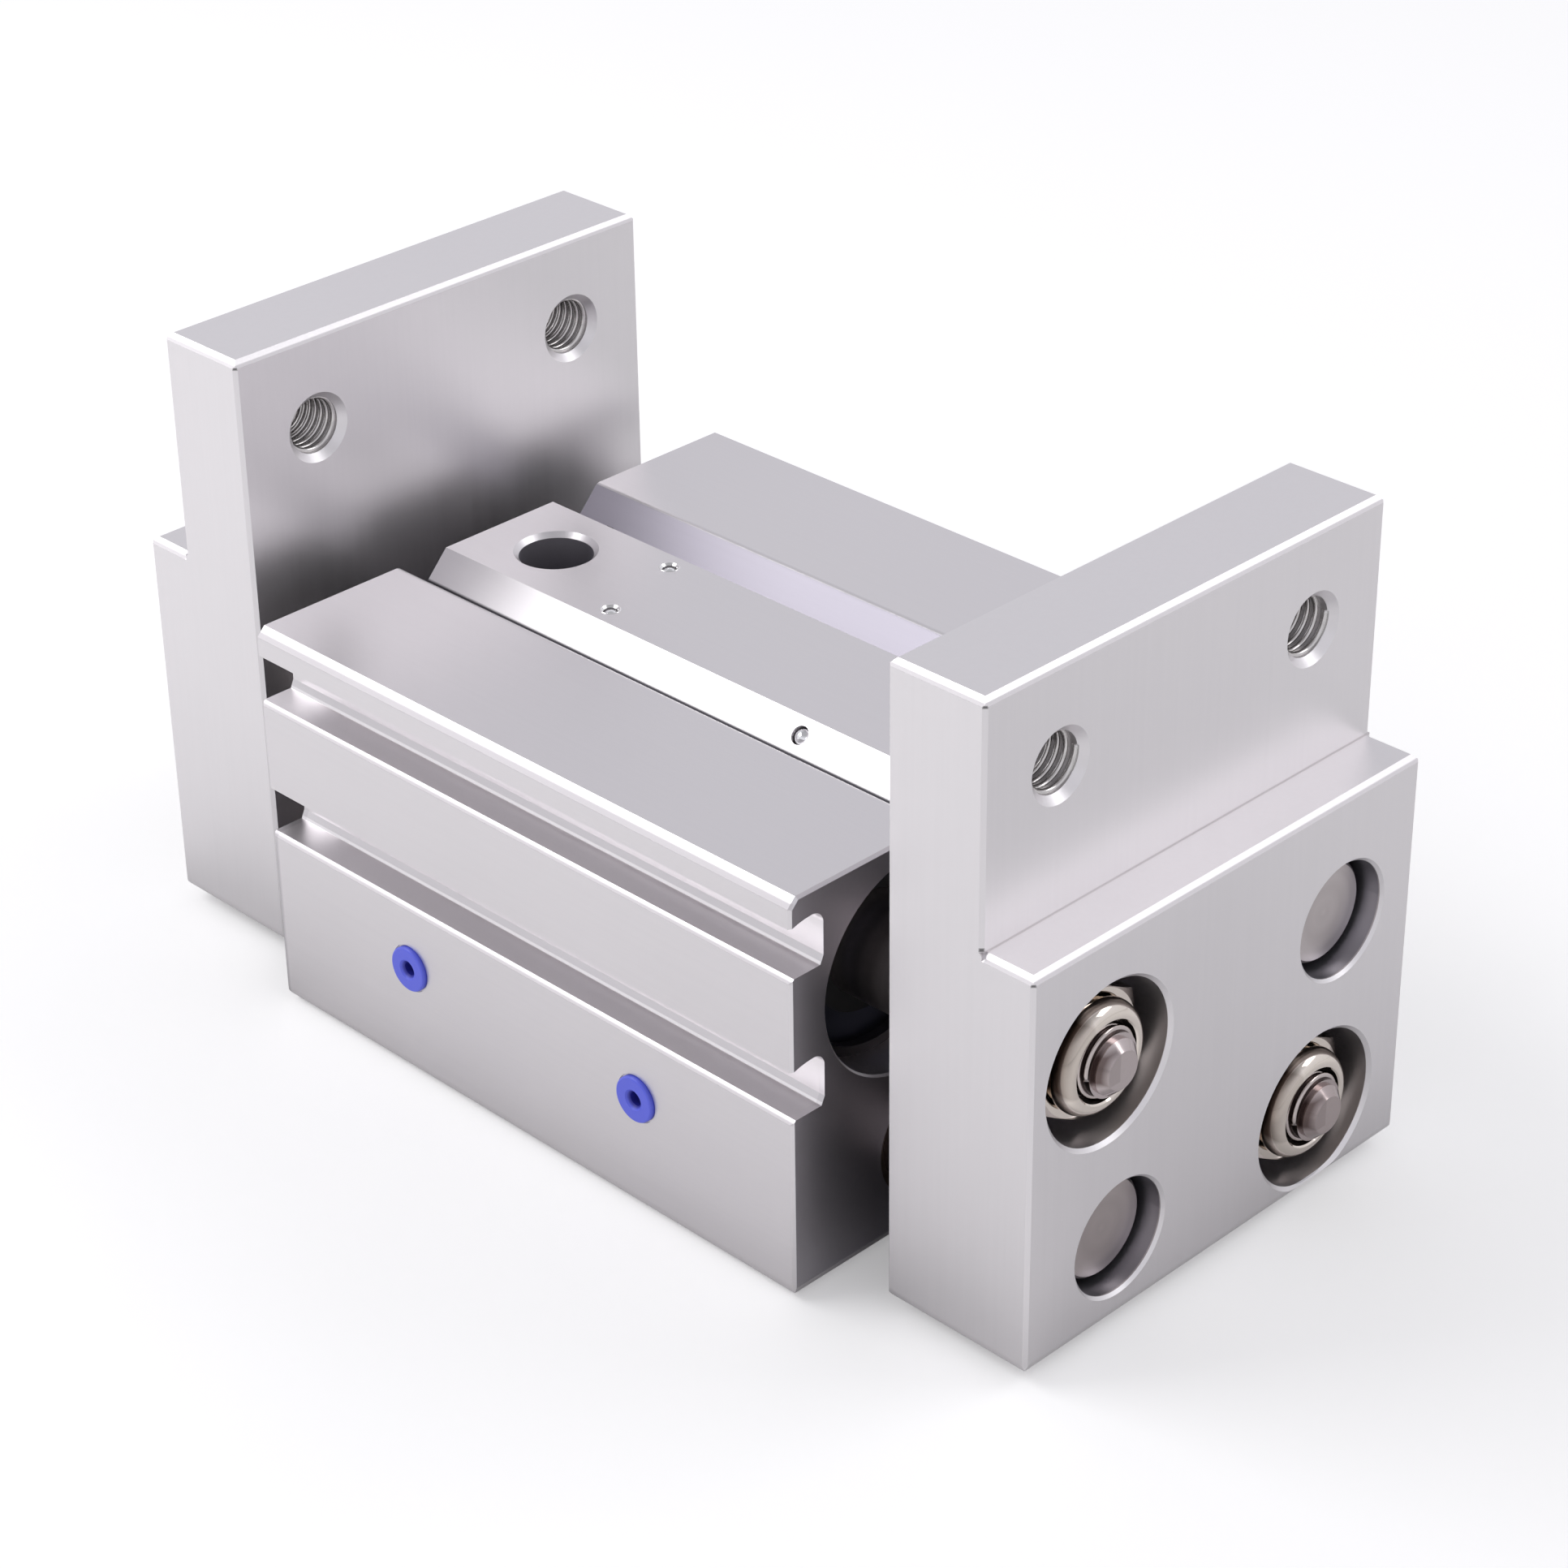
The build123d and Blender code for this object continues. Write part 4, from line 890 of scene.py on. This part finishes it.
# Lock nuts: hexagon with a rounded collar, turned as one ring and cut by six flats
lockNut = {
    "boreRadius": 0.00502,
    "flatDistance": 0.0085,
    "cornerRadius": 0.00981,
    "hexHeight": 0.0086,
    "chamferSlope": 0.577,  # rise of the corner chamfer per unit of radius
    "faceRadius": 0.0084,  # flat round the hexagon's ends inside the corner chamfer
    "neckRadius": 0.0069,  # groove between the hexagon and the collar
    "neckHeight": 0.0006,
    "collarRadius": 0.0076,
    "collarHeight": 0.003,
    "collarEdge": 0.0001,
    "collarRoundSteps": 10,
    "topRadius": 0.0058,  # outer edge of the collar's flat face
    "topRound": 0.0023,
    "mouthRadius": 0.0054,
    "mouthDepth": 0.0018,
    "mouthRound": 0.0002,
    "hexTurn": 30.0,  # degrees
    "steps": 144,
    "sharpAngle": 25.0,
}
nutMouthShade = {
    # painted shade inside the nut's mouth
    "radius": lockNut["mouthRadius"] + lockNut["mouthRound"],
    "tint": (0.07, 0.06, 0.055),
    "roughness": 0.3,
}
# painted dark reflection on the upper front of each lock nut
nutDarkReflection = {
    "spanX": (0.060, 0.0819),
    "spanY": (-0.0115, -0.0022),  # from the nut's axis
    "spanZ": (-0.0028, 0.0085),
    "tint": (0.20, 0.16, 0.14),
    "roughness": 0.1,
    "fade": 0.0016,
}
mergeReach = 1e-7


def nutOutline(look):
    # (distance along the axis, radius) round the ring's section
    hexTop = look["hexHeight"]
    neckTop = hexTop + look["neckHeight"]
    top = hexTop + look["collarHeight"]
    drop = (look["cornerRadius"] - look["faceRadius"]) * look["chamferSlope"]
    outline = [
        (0, look["boreRadius"]),
        (0, look["faceRadius"]),
        (drop, look["cornerRadius"]),
        (hexTop - drop, look["cornerRadius"]),
        (hexTop, look["faceRadius"]),
        (hexTop, look["neckRadius"]),
        (neckTop, look["neckRadius"]),
        (neckTop, look["collarRadius"] - look["collarEdge"]),
        (neckTop + look["collarEdge"], look["collarRadius"]),
    ]
    width = look["collarRadius"] - look["topRadius"]
    for step in range(look["collarRoundSteps"] + 1):
        angle = pi / 2 * step / look["collarRoundSteps"]
        along = top - look["topRound"] * (1 - sin(angle))
        outline.append((along, look["topRadius"] + width * cos(angle)))
    outline += [
        (top, look["mouthRadius"] + look["mouthRound"]),
        (top - look["mouthRound"], look["mouthRadius"]),
        (top - look["mouthDepth"], look["mouthRadius"]),
        (top - look["mouthDepth"], look["boreRadius"]),
    ]
    return outline


def spinRing(corners, centre, axis, steps):
    # a closed outline, given as points, turned once round an axis
    shape = bmesh.new()
    verts = [shape.verts.new(corner) for corner in corners]
    edges = [shape.edges.new((verts[i - 1], verts[i])) for i in range(len(verts))]
    bmesh.ops.spin(
        shape,
        geom=verts + edges,
        cent=centre,
        axis=axis,
        angle=tau,
        steps=steps,
        use_merge=True,
        use_duplicate=False,
    )
    bmesh.ops.remove_doubles(shape, verts=shape.verts, dist=mergeReach)
    return shape


def cutHexagon(shape, look, seat):
    for flat in range(6):
        angle = radians(look["hexTurn"] + flat * 60)
        outward = Vector((0, sin(angle), cos(angle)))
        cut = bmesh.ops.bisect_plane(
            shape,
            geom=[*shape.verts, *shape.edges, *shape.faces],
            dist=mergeReach,
            plane_co=seat + outward * look["flatDistance"],
            plane_no=outward,
            clear_outer=True,
        )
        cutEdges = [item for item in cut["geom_cut"] if isinstance(item, bmesh.types.BMEdge)]
        bmesh.ops.holes_fill(shape, edges=cutEdges, sides=0)


for side, sideName in ((1, "right"), (-1, "left")):
    nutLow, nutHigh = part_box(f"lock_nuts_{sideName}")
    seatX, faceX = (nutLow.x, nutHigh.x) if side > 0 else (nutHigh.x, nutLow.x)
    mouthX = sorted((seatX, faceX - side * lockNut["mouthRound"]))
    for kind in ("piston", "rack"):
        name = f"lock_nut_{kind}_{sideName}"
        centre = rodCentres[f"{kind}_rod_{sideName}"]
        seat = Vector((seatX, centre.y, centre.z))
        corners = [seat + Vector((side * along, 0, r)) for along, r in nutOutline(lockNut)]
        shape = spinRing(corners, seat, (side, 0, 0), lockNut["steps"])
        cutHexagon(shape, lockNut, seat)
        bmesh.ops.recalc_face_normals(shape, faces=shape.faces)
        zones = [darkReflectionZone(nutDarkReflection, centre, side), recessZone(centre, mouthX, nutMouthShade)]
        nut = makePiece(name, shape, satinFinish(f"{name}_nickel", nickel, zones))
        nut.data.shade_smooth()
        nut.data.set_sharp_from_angle(angle=radians(lockNut["sharpAngle"]))
        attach(nut, f"{sideName}_jaw")
        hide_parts(f"lock_nuts_{sideName}")
print("gripper: lock nuts turned")

# Staked rims that hold the small balls in the middle strip
stakedRim = {
    "spots": ((-0.0229, 0.0071), (-0.0196, -0.0069)),
    "section": (  # radius and height over the deck
        (0.00098, -0.00024),
        (0.00130, 0.00007),
        (0.00136, 0.00007),
        (0.00150, -0.00004),
        (0.00150, -0.0001),
        (0.00126, -0.0001),
        (0.00122, -0.00024),
    ),
    "steps": 48,
}
rimMetal = satinFinish("staked_rim", dict(cutThread, colour=(0.86, 0.85, 0.85), roughness=0.16))
for index, (spotX, spotY) in enumerate(stakedRim["spots"]):
    base = Vector((spotX, spotY, deckZ))
    corners = [base + Vector((r, 0, z)) for r, z in stakedRim["section"]]
    rim = spinRing(corners, base, (0, 0, 1), stakedRim["steps"])
    bmesh.ops.recalc_face_normals(rim, faces=rim.faces)
    piece = makePiece(f"staked_rim_{index + 1}", rim, rimMetal)
    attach(piece, "housing")
print("gripper: staked rims made")

# Floor, lamps and world
studio = {
    "floorColour": (0.86, 0.855, 0.85),
    "floorGlow": 0.26,  # lifts the floor to white where the camera sees it
    "mirroredGlow": 0.14,  # and less where metal mirrors it, out of the object's shadow
    "glowFade": 0.03,  # distance over which it fades in from the object's footprint
    "glowSide": (-0.707, -0.707, 0.0),  # the lit side of the floor
    "glowSideRange": (-0.08, -0.01),
    "contactShade": 0.8,  # what metal mirrors of the floor right beside the object
    "contactReach": (0.002, 0.012),
    "floorSize": 6.0,
    "skyHorizon": (0.74, 0.74, 0.76),
    "skyBand": (0.83, 0.83, 0.88),  # at a height of about 30 degrees, what the top faces mirror
    "skyBandHeight": 0.5,
    "skyZenith": (0.42, 0.42, 0.44),
    "skyZenithHeight": 0.9,
    "boxTarget": (0.0, 0.0, 0.04),
}
# flat lamps: where they stand, their sizes and the radiance that the chamfers mirror
softboxes = {
    "front_left_box": {"spot": (-0.406, -0.341, 0.570), "size": (0.51, 0.34), "glow": 3.5},
    "back_right_box": {"spot": (0.543, 0.664, 0.813), "size": (0.62, 0.42), "glow": 2.2},
}


def rangeNode(tree, source, low, high, toLow=0.0):
    node = addNode(tree, "ShaderNodeMapRange")
    node.inputs["From Min"].default_value = low
    node.inputs["From Max"].default_value = high
    node.inputs["To Min"].default_value = toLow
    tree.links.new(source, node.inputs["Value"])
    return node.outputs["Result"]


def mathNode(tree, operation, first, second):
    node = addNode(tree, "ShaderNodeMath", operation=operation)
    tree.links.new(first, node.inputs[0])
    if isinstance(second, float):
        node.inputs[1].default_value = second
    else:
        tree.links.new(second, node.inputs[1])
    return node.outputs[0]


def makeFloorMaterial():
    material, tree = newMaterial("floor")
    link = tree.links.new
    ray = addNode(tree, "ShaderNodeLightPath")
    coords = addNode(tree, "ShaderNodeTexCoord")
    # distance from the object's footprint
    span = addNode(tree, "ShaderNodeVectorMath", operation="ABSOLUTE")
    outside = addNode(tree, "ShaderNodeVectorMath", operation="SUBTRACT")
    outside.inputs[1].default_value = (cadHigh.x, cadHigh.y, 0)
    clear = addNode(tree, "ShaderNodeVectorMath", operation="MAXIMUM")
    clear.inputs[1].default_value = (0, 0, 0)
    reach = addNode(tree, "ShaderNodeVectorMath", operation="LENGTH")
    link(coords.outputs["Object"], span.inputs[0])
    link(span.outputs[0], outside.inputs[0])
    link(outside.outputs[0], clear.inputs[0])
    link(clear.outputs[0], reach.inputs[0])
    distance = reach.outputs["Value"]
    # paint, a little darker beside the object where metal mirrors it
    contact = rangeNode(tree, distance, *studio["contactReach"], studio["contactShade"])
    tone = addNode(tree, "ShaderNodeMix", data_type="FLOAT")
    tone.inputs["A"].default_value = 1.0
    paint = addNode(tree, "ShaderNodeVectorMath", operation="SCALE")
    paint.inputs[0].default_value = studio["floorColour"]
    matte = addNode(tree, "ShaderNodeBsdfDiffuse")
    link(ray.outputs["Is Glossy Ray"], tone.inputs["Factor"])
    link(contact, tone.inputs["B"])
    link(tone.outputs["Result"], paint.inputs["Scale"])
    link(paint.outputs["Vector"], matte.inputs["Color"])
    # glow: full for the camera, less for mirrored rays and only on the lit side
    toSide = addNode(tree, "ShaderNodeVectorMath", operation="DOT_PRODUCT")
    toSide.inputs[1].default_value = studio["glowSide"]
    link(coords.outputs["Object"], toSide.inputs[0])
    litSide = rangeNode(tree, toSide.outputs["Value"], *studio["glowSideRange"])
    fade = rangeNode(tree, distance, 0.0, studio["glowFade"])
    place = mathNode(tree, "MULTIPLY", fade, litSide)
    glossy, through = ray.outputs["Is Glossy Ray"], ray.outputs["Is Transmission Ray"]
    mirrored = mathNode(tree, "MULTIPLY", mathNode(tree, "MAXIMUM", glossy, through), place)
    mirrored = mathNode(tree, "MULTIPLY", mirrored, studio["mirroredGlow"])
    seen = mathNode(tree, "MULTIPLY", ray.outputs["Is Camera Ray"], studio["floorGlow"])
    glow = addNode(tree, "ShaderNodeEmission")
    lift = addNode(tree, "ShaderNodeAddShader")
    output = addNode(tree, "ShaderNodeOutputMaterial")
    link(mathNode(tree, "ADD", seen, mirrored), glow.inputs["Strength"])
    link(matte.outputs[0], lift.inputs[0])
    link(glow.outputs[0], lift.inputs[1])
    link(lift.outputs[0], output.inputs["Surface"])
    return material


def makeFloor():
    sheet = bmesh.new()
    bmesh.ops.create_grid(sheet, x_segments=2, y_segments=2, size=studio["floorSize"])
    bmesh.ops.translate(sheet, verts=sheet.verts, vec=(0, 0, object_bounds()[0].z))
    floor = makePiece("floor", sheet, makeFloorMaterial())


def makeWorld():
    world = bpy.data.worlds.new("studio")
    bpy.context.scene.world = world
    world.use_nodes = True
    tree = world.node_tree
    tree.nodes.clear()
    link = tree.links.new
    coords = addNode(tree, "ShaderNodeTexCoord")
    split = addNode(tree, "ShaderNodeSeparateXYZ")
    ramp = addNode(tree, "ShaderNodeValToRGB")
    horizon, zenith = ramp.color_ramp.elements
    horizon.position = 0.0
    horizon.color = (*studio["skyHorizon"], 1)
    zenith.position = studio["skyZenithHeight"]
    zenith.color = (*studio["skyZenith"], 1)
    band = ramp.color_ramp.elements.new(studio["skyBandHeight"])
    band.color = (*studio["skyBand"], 1)
    light = addNode(tree, "ShaderNodeBackground", Strength=1.0)
    plain = addNode(tree, "ShaderNodeBackground", Strength=1.0)
    plain.inputs["Color"].default_value = (1, 1, 1, 1)
    ray = addNode(tree, "ShaderNodeLightPath")
    pick = addNode(tree, "ShaderNodeMixShader")
    output = addNode(tree, "ShaderNodeOutputWorld")
    link(coords.outputs["Generated"], split.inputs[0])
    link(split.outputs["Z"], ramp.inputs["Fac"])
    link(ramp.outputs["Color"], light.inputs["Color"])
    link(ray.outputs["Is Camera Ray"], pick.inputs["Fac"])
    link(light.outputs[0], pick.inputs[1])
    link(plain.outputs[0], pick.inputs[2])
    link(pick.outputs[0], output.inputs["Surface"])


def addSoftbox(name, look):
    lamp = bpy.data.lights.new(name, "AREA")
    lamp.shape = "RECTANGLE"
    lamp.size, lamp.size_y = look["size"]
    lamp.energy = look["glow"] * pi * lamp.size * lamp.size_y
    holder = bpy.data.objects.new(name, lamp)
    holder.location = look["spot"]
    aim = Vector(studio["boxTarget"]) - Vector(look["spot"])
    holder.rotation_euler = aim.to_track_quat("-Z", "Y").to_euler()
    bpy.context.scene.collection.objects.link(holder)


makeFloor()
makeWorld()
for boxName, boxLook in softboxes.items():
    addSoftbox(boxName, boxLook)
bpy.context.scene.view_settings.view_transform = "Standard"
print("gripper: studio ready")
